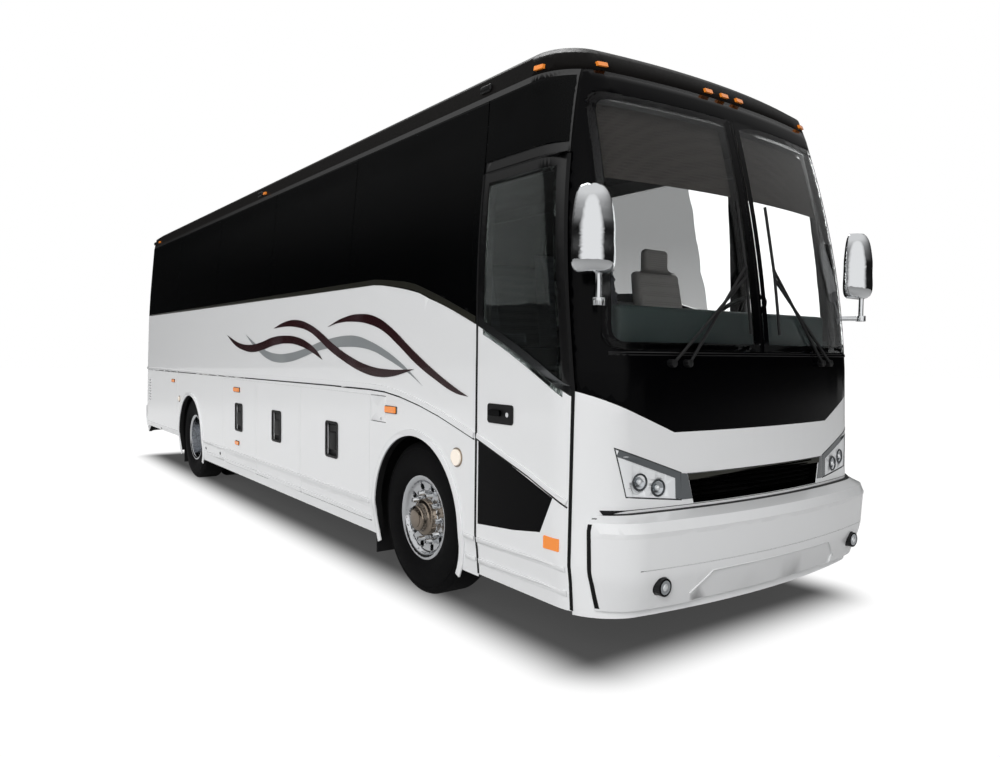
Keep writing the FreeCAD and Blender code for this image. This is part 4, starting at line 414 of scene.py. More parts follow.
@dataclass(frozen=True)
class TwoTonePaint(Finish):
    """White paint below the belt line and black above it, on one panel."""

    heights: tuple[Point, ...] = ((2.75, 2.18), (3.52, 2.05), (4.04, 1.871), (4.50, 1.674), (4.90, 1.463))
    upper: str = "020203"

    def draw(self, tree: Tree, shader: bpy.types.Node) -> None:
        """Mix the two paints by the height of each point above the belt line.

        Args:
            tree: Node tree of the material.
            shader: Principled shader to dress.
        """
        super().draw(tree, shader)
        place = add_node(tree, "ShaderNodeTexCoord").outputs["Object"]
        parts = add_node(tree, "ShaderNodeSeparateXYZ", {"Vector": place})
        (x0, high), (x1, low) = self.heights[0], self.heights[-1]
        along = add_node(tree, "ShaderNodeMapRange", (parts.outputs["X"], x0, x1)).outputs["Result"]
        curve = add_node(tree, "ShaderNodeFloatCurve", {"Value": along})
        line = curve.mapping.curves[0]
        line.points[0].location = (0.0, 1.0)
        line.points[1].location = (1.0, 0.0)
        for x, z in self.heights[1:-1]:
            line.points.new((x - x0) / (x1 - x0), (z - low) / (high - low))
        curve.mapping.update()
        belt = add_node(tree, "ShaderNodeMapRange", (curve.outputs["Value"], 0.0, 1.0, low, high))
        above = add_node(tree, "ShaderNodeMath", (parts.outputs["Z"], belt.outputs["Result"]),
                         operation="GREATER_THAN")
        tint(tree, shader, above.outputs["Value"], self.colour, self.upper)


# The same body paint in two tones, for the body and for the entrance door.
BODY_PAINT, DOOR_PAINT = (TwoTonePaint("polyurethane_paint_" + name, "F0F1F2", 0.32, coat=1.0,
                                       grain=Grain(Blend.PEEL, 9, 0.012), mottle=0.08)
                          for name in ("two_tone", "door"))


# Modelling helpers

def select_only(piece: Piece) -> None:
    """Make one object the only selected and the active one.

    Args:
        piece: Object to select.
    """
    bpy.ops.object.select_all(action="DESELECT")
    piece.select_set(True)
    bpy.context.view_layer.objects.active = piece


def linked(name: str, data: bpy.types.ID) -> Piece:
    """New object of the scene that shows some data.

    Args:
        name: Name of the object.
        data: Mesh, curve, camera or light data.

    Returns:
        The object.
    """
    piece = bpy.data.objects.new(name, data)
    bpy.context.scene.collection.objects.link(piece)
    return piece


def edit(piece: Piece, operator: Callable[..., set], **settings) -> None:
    """Run one mesh operator on the whole of a piece.

    Args:
        piece: Mesh object to change.
        operator: Operator of Blender's edit mode.
        **settings: Its settings.
    """
    select_only(piece)
    bpy.ops.object.mode_set(mode="EDIT")
    bpy.ops.mesh.select_all(action="SELECT")
    operator(**settings)
    bpy.ops.object.mode_set(mode="OBJECT")


def settle(piece: Piece, name: str) -> Piece:
    """Put an object's place into its mesh and name it.

    Args:
        piece: Object to settle.
        name: Its new name.

    Returns:
        The same object, unturned and unscaled at the origin.
    """
    select_only(piece)
    bpy.ops.object.transform_apply(location=True, rotation=True, scale=True)
    piece.name = piece.data.name = name
    return piece


def dress(piece: Piece, finish: Finish, body: str, angle: float = 35.0) -> Piece:
    """Give a finished piece its material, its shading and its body.

    Args:
        piece: Mesh object at the origin.
        finish: Surface of the piece.
        body: Body that carries it.
        angle: Edges under this many degrees are shaded smooth.

    Returns:
        The same object.
    """
    piece.data.materials.clear()
    piece.data.materials.append(finish.build())
    select_only(piece)
    bpy.ops.object.shade_smooth_by_angle(angle=math.radians(angle))
    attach(piece, body)
    log.info("%s rides on %s", piece.name, body)
    return piece


def paint(piece: Piece, finish: Finish, chosen: Callable[[Vector], bool]) -> None:
    """Give another finish to some faces of a piece.

    Args:
        piece: Dressed mesh object.
        finish: Surface of the chosen faces.
        chosen: Test of a face's middle.
    """
    piece.data.materials.append(finish.build())
    number = len(piece.data.materials) - 1
    for face in piece.data.polygons:
        if chosen(face.center):
            face.material_index = number


def modify(piece: Piece, kind: str, **settings) -> None:
    """Add one modifier and apply it at once.

    Args:
        piece: Object to change.
        kind: Type of the modifier.
        **settings: Its settings.
    """
    modifier = piece.modifiers.new(kind.lower(), kind)
    for name, value in settings.items():
        setattr(modifier, name, value)
    select_only(piece)
    bpy.ops.object.modifier_apply(modifier=modifier.name)


def mirrored_copy(piece: Piece, name: str) -> Piece:
    """Copy of a piece on the other side of the bus, with its faces turned outwards again.

    Args:
        piece: Mesh object at the origin.
        name: Name of the copy.

    Returns:
        The copy.
    """
    twin = piece.copy()
    twin.data = piece.data.copy()
    twin.parent = None
    bpy.context.scene.collection.objects.link(twin)
    twin.matrix_world = Matrix.Scale(-1, 4, (0, 1, 0))
    settle(twin, name)
    edit(twin, bpy.ops.mesh.flip_normals)
    return twin


def pair(piece: Piece, finish: Finish, body: str) -> Piece:
    """Dress a piece of the right side, and its mirror image on the left one.

    Args:
        piece: Mesh object, whose name ends in its side.
        finish: Surface of both pieces.
        body: Body that carries it, with a side name in braces where each side has its own.

    Returns:
        The piece on the right side.
    """
    twin = mirrored_copy(piece, piece.name.removesuffix("right") + "left")
    dress(twin, finish, body.format(side="left"))
    return dress(piece, finish, body.format(side="right"))


def torus(name: str, place: Point3, turn: Point3, major: float, minor: float,
          segments: tuple[int, int]) -> Piece:
    """Ring of a round section.

    Args:
        name: Name of the ring.
        place: Its middle.
        turn: Its turn from lying flat.
        major: Radius of its middle line.
        minor: Radius of its section.
        segments: Segments round the ring and round its section.

    Returns:
        The ring as a mesh at the origin.
    """
    bpy.ops.mesh.primitive_torus_add(location=place, rotation=turn, major_radius=major, minor_radius=minor,
                                     major_segments=segments[0], minor_segments=segments[1])
    return settle(bpy.context.active_object, name)


def ball(name: str, place: Point3, radius: float, segments: int = 24, **settings) -> Piece:
    """Ball, which further settings can turn and flatten.

    Args:
        name: Name of the ball.
        place: Its middle.
        radius: Its radius.
        segments: Segments round its waist.
        **settings: Its rotation and its scale.

    Returns:
        The ball as a mesh at the origin.
    """
    bpy.ops.mesh.primitive_uv_sphere_add(segments=segments, ring_count=segments // 2, radius=radius,
                                         location=place, **settings)
    return settle(bpy.context.active_object, name)


def smooth_copy(node: str, finish: Finish, angle: float = PANEL_ANGLE) -> Piece:
    """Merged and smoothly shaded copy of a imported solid, which it replaces.

    Args:
        node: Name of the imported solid.
        finish: Surface of the copy.
        angle: Edges under this many degrees are shaded smooth.

    Returns:
        The copy, riding on the node's body.
    """
    source = frame["nodes"][node]
    piece = linked(node + "_finished", source.data.copy())
    edit(piece, bpy.ops.mesh.remove_doubles, threshold=COPY_WELD)
    dress(piece, finish, source["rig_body"], angle)
    modify(piece, "WEIGHTED_NORMAL", keep_sharp=True, weight=100)
    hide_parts(node)
    return piece


def plate(name: str, outline: Sequence[Point], level: float, thickness: float, view: View = View.SIDE,
          bevel: float = 0.0, sharp: tuple[int, ...] = (), curved: bool = True,
          hole: Sequence[Point] = ()) -> Piece:
    """Flat plate cut to an outline, with its back at a level along the view.

    Args:
        name: Name of the plate.
        outline: Closed outline in the view's two directions, in order.
        level: Place of the plate's back along the view.
        thickness: How far it stands out, or nothing for a bare face.
        view: Direction from which the outline is drawn.
        bevel: Rounding of its edges.
        sharp: Points of a curved outline that are corners.
        curved: Whether the outline runs smoothly through its points.
        hole: Outline of an opening in the plate, or nothing.

    Returns:
        The plate as a mesh at the origin.
    """
    curve = bpy.data.curves.new(name, "CURVE")
    curve.dimensions = "2D"
    curve.fill_mode = "BOTH"
    curve.resolution_u = 8
    curve.extrude = max(0.0, thickness / 2 - bevel)
    curve.bevel_depth = bevel
    curve.bevel_resolution = 2
    curve.offset = -bevel
    for points in filter(None, (outline, hole)):
        spline = curve.splines.new("BEZIER" if curved else "POLY")
        spline.use_cyclic_u = True
        if curved:
            spline.bezier_points.add(len(points) - 1)
            for k, (u, v) in enumerate(points):
                point = spline.bezier_points[k]
                point.co = (u, v, 0.0)
                point.handle_left_type = point.handle_right_type = "VECTOR" if k in sharp else "AUTO"
        else:
            spline.points.add(len(points) - 1)
            for k, (u, v) in enumerate(points):
                spline.points[k].co = (u, v, 0.0, 1.0)
    piece = linked(name, curve)
    select_only(piece)
    bpy.ops.object.convert(target="MESH")
    piece = bpy.context.view_layer.objects.active
    middle = view.outwards() * thickness / 2
    piece.matrix_world = Matrix.Translation(middle) @ view.matrix(level)
    settle(piece, name)
    edit(piece, bpy.ops.mesh.remove_doubles, threshold=PLATE_WELD)
    if thickness:
        edit(piece, bpy.ops.mesh.normals_make_consistent, inside=False)
    elif piece.data.polygons and piece.data.polygons[0].normal.dot(view.outwards()) < 0:
        piece.data.flip_normals()
    return piece


def rounded_box(u0: float, u1: float, v0: float, v1: float, radius: float, steps: int = 6) -> list[Point]:
    """Outline of a rectangle with round corners.

    Args:
        u0: Low end in the first direction.
        u1: High end in the first direction.
        v0: Low end in the second direction.
        v1: High end in the second direction.
        radius: Radius of the corners.
        steps: Segments of each corner.

    Returns:
        Closed outline.
    """
    corners = ((u1 - radius, v1 - radius, 0), (u0 + radius, v1 - radius, 1), (u0 + radius, v0 + radius, 2),
               (u1 - radius, v0 + radius, 3))
    return [(u + radius * math.cos((quarter + k / steps) * math.pi / 2),
             v + radius * math.sin((quarter + k / steps) * math.pi / 2))
            for u, v, quarter in corners for k in range(steps + 1)]


def circle(u: float, v: float, radius: float, count: int = 40) -> list[Point]:
    """Outline of a circle."""
    return [(u + radius * math.cos(math.tau * k / count), v + radius * math.sin(math.tau * k / count))
            for k in range(count)]


def spread(first: float, last: float, count: int) -> list[float]:
    """Evenly spaced values from one to another, both of them too."""
    return [first + (last - first) * k / count for k in range(count + 1)]


def strip(path: Sequence[Point], width: float, step: float = 0.03, closed: bool = False) -> list[Point]:
    """Outline of a strip of even width along a path.

    Args:
        path: Middle line of the strip.
        width: Width of the strip.
        step: Longest distance between two points.
        closed: Whether the path runs back to its start; then both edges are joined by a slit.

    Returns:
        Closed outline.
    """
    corners = [*path, path[0]] if closed else path
    dense: list[Point] = []
    for (ua, va), (ub, vb) in zip(corners, corners[1:]):
        count = max(1, math.ceil(math.hypot(ub - ua, vb - va) / step))
        dense += [(ua + (ub - ua) * k / count, va + (vb - va) * k / count) for k in range(count)]
    dense.append(corners[-1])
    normals = []
    for (ua, va), (ub, vb) in zip(dense, dense[1:]):
        length = math.hypot(ub - ua, vb - va)
        normals.append(((va - vb) / length, (ub - ua) / length))
    first = normals[-1] if closed else normals[0]
    last = normals[0] if closed else normals[-1]
    high, low = [], []
    for (u, v), (nu, nv), (mu, mv) in zip(dense, [first] + normals, normals + [last]):
        mitre = max(LEAST_MITRE, 1 + nu * mu + nv * mv)
        du, dv = (nu + mu) / mitre * width / 2, (nv + mv) / mitre * width / 2
        high.append((u + du, v + dv))
        low.append((u - du, v - dv))
    return high + low[::-1]


@dataclass
class BodyForm:
    """Joined copy of the outer panels, which flat pieces are pressed on to; it is removed at the end."""

    panels: tuple[str, ...] = (
        "side_wall_right", "rear_wall", "front_bumper", "rear_bumper", "front_panel", "front_mask",
        "roof_panel", "door_leaf", "headlamps", "windscreen", "filler_flap", "rear_flap_right",
        "luggage_door_right_1", "luggage_door_right_2", "luggage_door_right_3", "door_glass", "window_glass")
    shell: Piece | None = None
    drop: float = 0.2
    start: float = 9.0
    far: dict[View, float] = field(default_factory=lambda: {View.SIDE: 1.8, View.FRONT: 6.0})

    def build(self) -> None:
        """Join plain copies of the panels."""
        bpy.ops.object.select_all(action="DESELECT")
        for node in self.panels:
            copy = linked("form_" + node, frame["nodes"][node].data.copy())
            copy.select_set(True)
            bpy.context.view_layer.objects.active = copy
        bpy.ops.object.join()
        self.shell = bpy.context.view_layer.objects.active
        self.shell.name = "body_form"

    def touch(self, view: View, u: float, v: float) -> Vector:
        """Place where a line along the view first meets the body.

        Args:
            view: Direction of the line.
            u: Place in the view's first direction.
            v: Place in the view's second direction.

        Returns:
            The place that it meets, or the nearest place on the body's side where it misses.
        """
        start = view.matrix(0) @ Vector((u, v, 0)) + view.outwards() * self.start
        hit, place, _, _ = self.shell.ray_cast(start, -view.outwards())
        return place if hit else start - view.outwards() * (self.start - WALL)

    def press(self, piece: Piece, view: View, lift: float, thickness: float, cuts: int = 0) -> Piece:
        """Press a bare face on to the body and give it its thickness.

        Args:
            piece: Flat face at the origin.
            view: Direction in which it is pressed.
            lift: Gap to the body.
            thickness: Thickness of the finished piece.
            cuts: Cuts of each face before it is pressed.

        Returns:
            The same object.
        """
        if cuts:
            edit(piece, bpy.ops.mesh.subdivide, number_cuts=cuts)
        along_x = view is View.FRONT
        modify(piece, "SHRINKWRAP", target=self.shell, wrap_method="PROJECT", wrap_mode="ABOVE_SURFACE",
               use_project_x=along_x, use_project_y=not along_x, use_project_z=False,
               use_negative_direction=along_x, use_positive_direction=not along_x, offset=lift)
        self.mend(piece, view)
        modify(piece, "SOLIDIFY", thickness=thickness, offset=1.0)
        return piece

    def mend(self, piece: Piece, view: View) -> None:
        """Give points that missed the panels, or fell through an opening, the depth of their neighbours.

        Args:
            piece: Pressed face.
            view: Direction in which it was pressed.
        """
        outwards = view.outwards()
        mesh = piece.data
        depths = [vertex.co.dot(outwards) for vertex in mesh.vertices]
        neighbours: list[list[int]] = [[] for _ in mesh.vertices]
        for edge in mesh.edges:
            a, b = edge.vertices
            neighbours[a].append(b)
            neighbours[b].append(a)
        missed = {k for k, depth in enumerate(depths) if depth > self.far[view] - self.drop}
        stray = missed | {k for k, depth in enumerate(depths) if k not in missed and any(
            depths[n] > depth + self.drop for n in neighbours[k] if n not in missed)}
        while stray:
            ready = {k: [depths[n] for n in neighbours[k] if n not in stray] for k in stray}
            ready = {k: near for k, near in ready.items() if near}
            if not ready:
                log.warning("%s misses the body", piece.name)
                return
            for k, near in ready.items():
                depth = sum(near) / len(near)
                mesh.vertices[k].co += outwards * (depth - depths[k])
                depths[k] = depth
            stray -= ready.keys()

    def remove(self) -> None:
        """Take the joined copy away again."""
        bpy.data.objects.remove(self.shell)


FORM = BodyForm()


def laid(name: str, outline: Sequence[Point], finish: Finish, thickness: float = 0.002, slot: str = "rubber",
         view: View = View.SIDE, lift: float = 0.0003, body: str = "bus", cuts: int = 0, twin: bool = True,
         rounding: float = 0.0) -> Piece:
    """Thin piece cut to an outline and laid on the body, with its mirror image on the other side.

    Args:
        name: Name of the piece, without its side.
        outline: Closed outline in the view's two directions.
        finish: Its surface.
        thickness: Its thickness.
        slot: Name of a material slot; not used.
        view: Direction in which it is drawn and pressed.
        lift: Gap to the body.
        body: Body that carries it, with a side name in braces where each side has its own.
        cuts: Cuts of each face before it is pressed.
        twin: Whether the left side gets one too.
        rounding: Width of the rounding along its edges.

    Returns:
        The piece on the right side.
    """
    level = FORM.far[view] * (1 if view is View.FRONT else -1)
    piece = plate(name + ("_right" if twin else ""), outline, level, 0.0, view, curved=False)
    FORM.press(piece, view, lift, thickness, cuts)
    if rounding:
        modify(piece, "BEVEL", width=rounding, segments=3, limit_method="ANGLE", angle_limit=math.radians(50))
    return pair(piece, finish, body) if twin else dress(piece, finish, body)


def trim(name: str, path: Sequence[Point], width: float, step: float, finish: Finish, thickness: float,
         slot: str = "rubber", closed: bool = False, **settings) -> None:
    """Lay a strip of even width along a path on the body.

    Args:
        name: Name of the piece, without its side.
        path: Middle line of the strip.
        width: Width of the strip.
        step: Longest distance between two points.
        finish: Its surface.
        thickness: Its thickness.
        slot: Name of a material slot, passed on to laid(), which does not use it.
        closed: Whether the path runs back to its start.
        **settings: Further settings of laid().
    """
    laid(name, strip(path, width, step, closed), finish, thickness, slot, **settings)


# Body panels

@dataclass
class BodyPanels:
    """Painted panels of the body, as smooth copies of their solids."""

    two_tone: tuple[str, ...] = ("side_wall_right", "side_wall_left", "rear_wall")
    white: tuple[str, ...] = ("front_bumper", "rear_bumper", "front_panel", "filler_flap", "rear_flap_right",
                              "rear_flap_left", "engine_lid")
    doors: tuple[int, ...] = (1, 2, 3)
    crisp: float = 9.0
    gentle: float = 20.0
    relief_top: float = 0.6
    floor_line: float = 1.38
    roof_angle: float = 70.0
    mask_angle: float = 50.0
    wall_skin: float = 0.04
    face_skin: float = 0.002
    arch_inner: float = 1.1
    arch_slack: float = 0.02
    latch_depth: float = 0.036

    def build(self) -> None:
        """Dress every painted panel."""
        for node in self.two_tone:
            paint(smooth_copy(node, BODY_PAINT), CHASSIS_PAINT, self.in_shadow)
        for node in self.white:
            smooth_copy(node, WHITE_PAINT, self.crisp if node.endswith("bumper") else PANEL_ANGLE)
        for side in SIDE_NAMES.values():
            for number in self.doors:
                door = smooth_copy("luggage_door_%s_%d" % (side, number), WHITE_PAINT)
                paint(door, BLACK_ABS, self.in_latch)
        smooth_copy("door_leaf", DOOR_PAINT)
        smooth_copy("roof_panel", ROOF_PAINT, self.roof_angle)
        smooth_copy("front_mask", BLACK_PAINT, self.mask_angle)
        self.soften(bpy.data.objects["front_bumper_finished"])

    def soften(self, piece: Piece) -> None:
        """Shade the gentle edges of a bumper's lower panel smooth.

        Args:
            piece: Dressed copy of the bumper.
        """
        mesh = bmesh.new()
        mesh.from_mesh(piece.data)
        for edge in mesh.edges:
            low = all(vertex.co.z < self.relief_top for vertex in edge.verts)
            if low and edge.is_manifold and edge.calc_face_angle() < math.radians(self.gentle):
                edge.smooth = True
        mesh.to_mesh(piece.data)
        mesh.free()
        modify(piece, "WEIGHTED_NORMAL", keep_sharp=True, weight=100)

    def in_shadow(self, place: Vector) -> bool:
        """Whether a place lies in a wheel arch, or on a wall's inner face below the saloon floor."""
        inside = abs(place.y) < WALL - self.wall_skin and place.z < self.floor_line
        return inside or self.in_arch(place)

    def in_arch(self, place: Vector) -> bool:
        """Whether a place lies on the inner face of a wheel arch.

        Args:
            place: Middle of a face.

        Returns:
            True on that inner face.
        """
        if not self.arch_inner < abs(place.y) < WALL - self.face_skin:
            return False
        for x, radius in ARCHES:
            round_part = abs(math.hypot(place.x - x, place.z - TYRE_RADIUS) - radius) < self.arch_slack
            straight_part = place.z < TYRE_RADIUS and abs(abs(place.x - x) - radius) < self.arch_slack
            if round_part or straight_part:
                return True
        return False

    def in_latch(self, place: Vector) -> bool:
        """Whether a place lies in a latch recess, behind the door's face.

        Args:
            place: Middle of a face.

        Returns:
            True in a recess.
        """
        half, height = LATCH_SIZE[0] / 2 + MM, LATCH_SIZE[1]
        inside = any(abs(place.x - x) < half and z - MM < place.z < z + height + MM for x, z in LATCH_PLACES)
        return inside and WALL - self.latch_depth < abs(place.y) < WALL - MM


@dataclass
class Glazing:
    """Windscreen, door glass and side panes."""

    light_pane_x: float = 2.42
    low_pane_top: float = 1.3
    post: float = 0.042
    low: float = 1.728
    high: float = 3.104
    low_half: float = 1.142
    high_half: float = 1.068
    corner: float = 0.11
    frit: float = 0.044

    def build(self) -> None:
        """Dress the panes, with lighter glass beside the driver."""
        smooth_copy("windscreen", SCREEN_GLASS)
        door_panes = smooth_copy("door_glass", DOOR_GLASS)
        paint(door_panes, BLACK_PAINT, lambda place: place.z < self.low_pane_top)
        panes = smooth_copy("window_glass", PRIVACY_GLASS)
        paint(panes, TINTED_GLASS, lambda place: place.x > self.light_pane_x and place.y > 0)
        for side in SIDE_NAMES:
            corners = [(side * self.post, self.low), (side * self.low_half, self.low),
                       (side * self.high_half, self.high), (side * self.post, self.high)]
            path = strip(self.round_corners(corners), self.frit, 0.04, closed=True)
            laid("screen_frit_" + SIDE_NAMES[side], path, BLACK_PAINT, 0.0008, "black_gloss", View.FRONT,
                 lift=0.0002, twin=False)

    def round_corners(self, corners: list[Point]) -> list[Point]:
        """Path along four corners, of which the two outer ones are rounded.

        Args:
            corners: Corners in order, the sharp ones first and last.

        Returns:
            Path through the sharp corners and along the round ones.
        """
        path: list[Point] = [corners[0]]
        for before, corner, after in (corners[:3], corners[1:]):
            here = Vector(corner)
            start = here + (Vector(before) - here).normalized() * self.corner
            end = here + (Vector(after) - here).normalized() * self.corner
            for share in spread(0.0, 1.0, 6):
                point = start * (1 - share) ** 2 + here * 2 * share * (1 - share) + end * share ** 2
                path.append((point.x, point.y))
        return path + [corners[3]]


@dataclass
class PlainNodes:
    """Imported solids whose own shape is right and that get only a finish."""

    arch_lamp: Point = (3.865, 1.02)
    arch_lamp_radius: float = 0.07
    soft_angle: float = 62.0
    disc_face: float = 1.186
    cap_radius: float = 0.132
    nut_ring: Point = (0.146, 0.189)
    finishes: dict[str, Finish] = field(default_factory=lambda: {
        "grille": GRILLE_PLASTIC, "headlamps": LAMP_SILVER, "door_arms": STEEL, "front_axle": CAST_IRON,
        "knuckle_right": CAST_IRON, "knuckle_left": CAST_IRON, "rear_axle": CAST_IRON,
        "chassis_frame": CHASSIS_PAINT, "wheel_housings": CHASSIS_PAINT, "saloon_floor": FLOOR_VINYL,
        "luggage_bay": FLOOR_VINYL, "engine_block": CAST_IRON, "dashboard": DASH_SKIN,
        "entrance_steps": FLOOR_VINYL, "steering_wheel": BLACK_ABS, "mirrors": CHROME,
        "wipers": BLACK_ABS, "fog_lamps": BLACK_ABS, "rear_lamps": RED, "mud_flaps": FLAP_RUBBER})

    def build(self) -> None:
        """Dress each of them."""
        for node, finish in self.finishes.items():
            smooth_copy(node, finish, self.soft_angle if node == "mirrors" else PANEL_ANGLE)
        for place in ("front", "rear"):
            for side in SIDE_NAMES.values():
                smooth_copy("tyre_%s_%s" % (place, side), TYRE)
                rim = smooth_copy("rim_%s_%s" % (place, side), POLISHED_ALUMINIUM)
                middle = FRONT_AXLE_X if place == "front" else REAR_AXLE_X
                low, high = self.nut_ring
                paint(rim, BRONZE, lambda spot, x=middle: 0 <= self.radius(spot, x) < self.cap_radius)
                paint(rim, CHROME, lambda spot, x=middle: low < self.radius(spot, x) < high)
        lamps = smooth_copy("marker_lamps", AMBER)
        middle = Vector(self.arch_lamp)
        paint(lamps, WHITE_LENS, lambda place: (place.xz - middle).length < self.arch_lamp_radius)

    def radius(self, spot: Vector, axle_x: float) -> float:
        """Distance from its axle of a place on a wheel's outer face.

        Args:
            spot: Middle of a face.
            axle_x: Place of the axle along the bus.

        Returns:
            The distance, or -1 for a place behind the outer face.
        """
        if abs(spot.y) <= self.disc_face:
            return -1.0
        return math.hypot(spot.x - axle_x, spot.z - TYRE_RADIUS)


@dataclass
class Seats:
    """Padded seats of the driver and the passengers, with rounded edges and woven covers."""

    rounding: dict[str, float] = field(default_factory=lambda: {
        "driver_seat": 0.038, "passenger_seats": 0.022})
    fill: float = 0.9
    flat_angle: float = 2.0
    edge_angle: float = 40.0

    def build(self) -> None:
        """Round and dress each seat."""
        for node, width in self.rounding.items():
            finish = DRIVER_CLOTH if node == "driver_seat" else SEAT_CLOTH
            seat = smooth_copy(node, finish, self.edge_angle)
            edit(seat, bpy.ops.mesh.dissolve_limited, angle_limit=math.radians(self.flat_angle))
            modify(seat, "BEVEL", width=width, segments=4, limit_method="ANGLE",
                   angle_limit=math.radians(self.edge_angle), harden_normals=False)


@dataclass
class CabTrim:
    """Padded top of the dashboard and the sun blinds behind the windscreen."""

    shelf_place: Point3 = (4.76, 0.06, 1.845)
    shelf_size: Point3 = (0.34, 2.02, 0.23)
    shelf_rounding: float = 0.035
    blind: tuple[Point, ...] = ((-1.06, 2.66), (-0.05, 2.66), (-0.05, 3.09), (-1.02, 3.09))
    blind_depth: float = 0.075

    def build(self) -> None:
        """Make the shelf and hang a blind behind each half of the screen."""
        bpy.ops.mesh.primitive_cube_add(size=1, location=self.shelf_place, scale=self.shelf_size)
        shelf = settle(bpy.context.active_object, "dashboard_shelf")
        modify(shelf, "BEVEL", width=self.shelf_rounding, segments=4)
        dress(shelf, DASH_SKIN, "bus")
        laid("sun_blind", self.blind, BLIND_CLOTH, 0.003, "seat_fabric", View.FRONT, lift=-self.blind_depth,
             cuts=12)


@dataclass
class SideGraphics:
    """Crossing ribbons of printed film along both sides, grey below and maroon above."""

    film: float = 0.0006
    outlines: dict[str, tuple[Point, ...]] = field(default_factory=lambda: {
        "front_ribbon": (
            (1.866, 1.882), (2.159, 1.948), (2.504, 1.971), (2.767, 1.937), (3.000, 1.852), (3.266, 1.715),
            (3.598, 1.558), (3.859, 1.455), (3.991, 1.411), (3.841, 1.427), (3.599, 1.503), (3.336, 1.607),
            (3.100, 1.727), (2.873, 1.830), (2.632, 1.890), (2.343, 1.916), (2.096, 1.912)),
        "middle_ribbon": (
            (0.589, 1.892), (0.860, 1.945), (1.185, 1.960), (1.475, 1.916), (1.728, 1.840), (1.967, 1.747),
            (2.286, 1.647), (2.635, 1.575), (2.954, 1.554), (3.319, 1.564), (3.175, 1.534), (3.005, 1.505),
            (2.772, 1.495), (2.494, 1.527), (2.194, 1.600), (1.901, 1.692), (1.694, 1.776), (1.475, 1.850),
            (1.205, 1.892), (0.918, 1.905)),
        "rear_ribbon": (
            (-0.892, 1.844), (-0.451, 1.753), (-0.071, 1.735), (0.234, 1.760), (0.566, 1.807),
            (0.919, 1.820), (1.206, 1.802), (1.438, 1.756), (1.623, 1.691), (1.765, 1.606), (1.476, 1.683),
            (1.246, 1.726), (1.003, 1.746), (0.657, 1.734), (0.283, 1.684), (-0.019, 1.659),
            (-0.285, 1.673), (-0.623, 1.735)),
        "grey_ribbon": (
            (-0.257, 1.849), (0.007, 1.762), (0.340, 1.682), (0.702, 1.646), (1.045, 1.660), (1.401, 1.704),
            (1.694, 1.755), (2.000, 1.792), (2.223, 1.806), (2.433, 1.800), (2.633, 1.764), (2.849, 1.708),
            (3.053, 1.638), (3.198, 1.576), (3.439, 1.452), (3.257, 1.529), (3.102, 1.579), (2.902, 1.636),
            (2.716, 1.683), (2.492, 1.711), (2.161, 1.716), (1.833, 1.700), (1.587, 1.669), (1.325, 1.622),
            (1.004, 1.576), (0.657, 1.566), (0.379, 1.602), (0.184, 1.659), (-0.071, 1.755))})
    tips: dict[str, tuple[int, ...]] = field(default_factory=lambda: {
        "front_ribbon": (0, 8), "middle_ribbon": (0, 9), "rear_ribbon": (0, 9), "grey_ribbon": (0, 14)})

    def build(self) -> None:
        """Lay the four ribbons on the right side and their mirror images on the left."""
        for name, outline in reversed(self.outlines.items()):
            grey = name == "grey_ribbon"
            depth = self.film * (1 if grey else 3)
            back = -WALL + (self.film if grey else 0.0)
            piece = plate(name + "_right", outline, back, depth, sharp=self.tips[name])
            pair(piece, GREY_FILM if grey else MAROON_FILM, "bus")


class Belt:
    """Line under the side glass, level along the saloon and falling towards the front."""

    points: tuple[Point, ...] = (
        (-4.95, 2.18), (2.75, 2.18), (3.25, 2.126), (3.52, 2.048), (3.77, 1.964), (4.04, 1.868),
        (4.31, 1.758), (4.50, 1.672), (4.66, 1.594), (4.90, 1.465))

    @classmethod
    def height(cls, x: float) -> float:
        """Height of the belt line.

        Args:
            x: Place along the bus.

        Returns:
            Height over the ground.
        """
        for (xa, za), (xb, zb) in zip(cls.points, cls.points[1:]):
            if x <= xb:
                return za + (zb - za) * max(0.0, x - xa) / (xb - xa)
        return cls.points[-1][1]


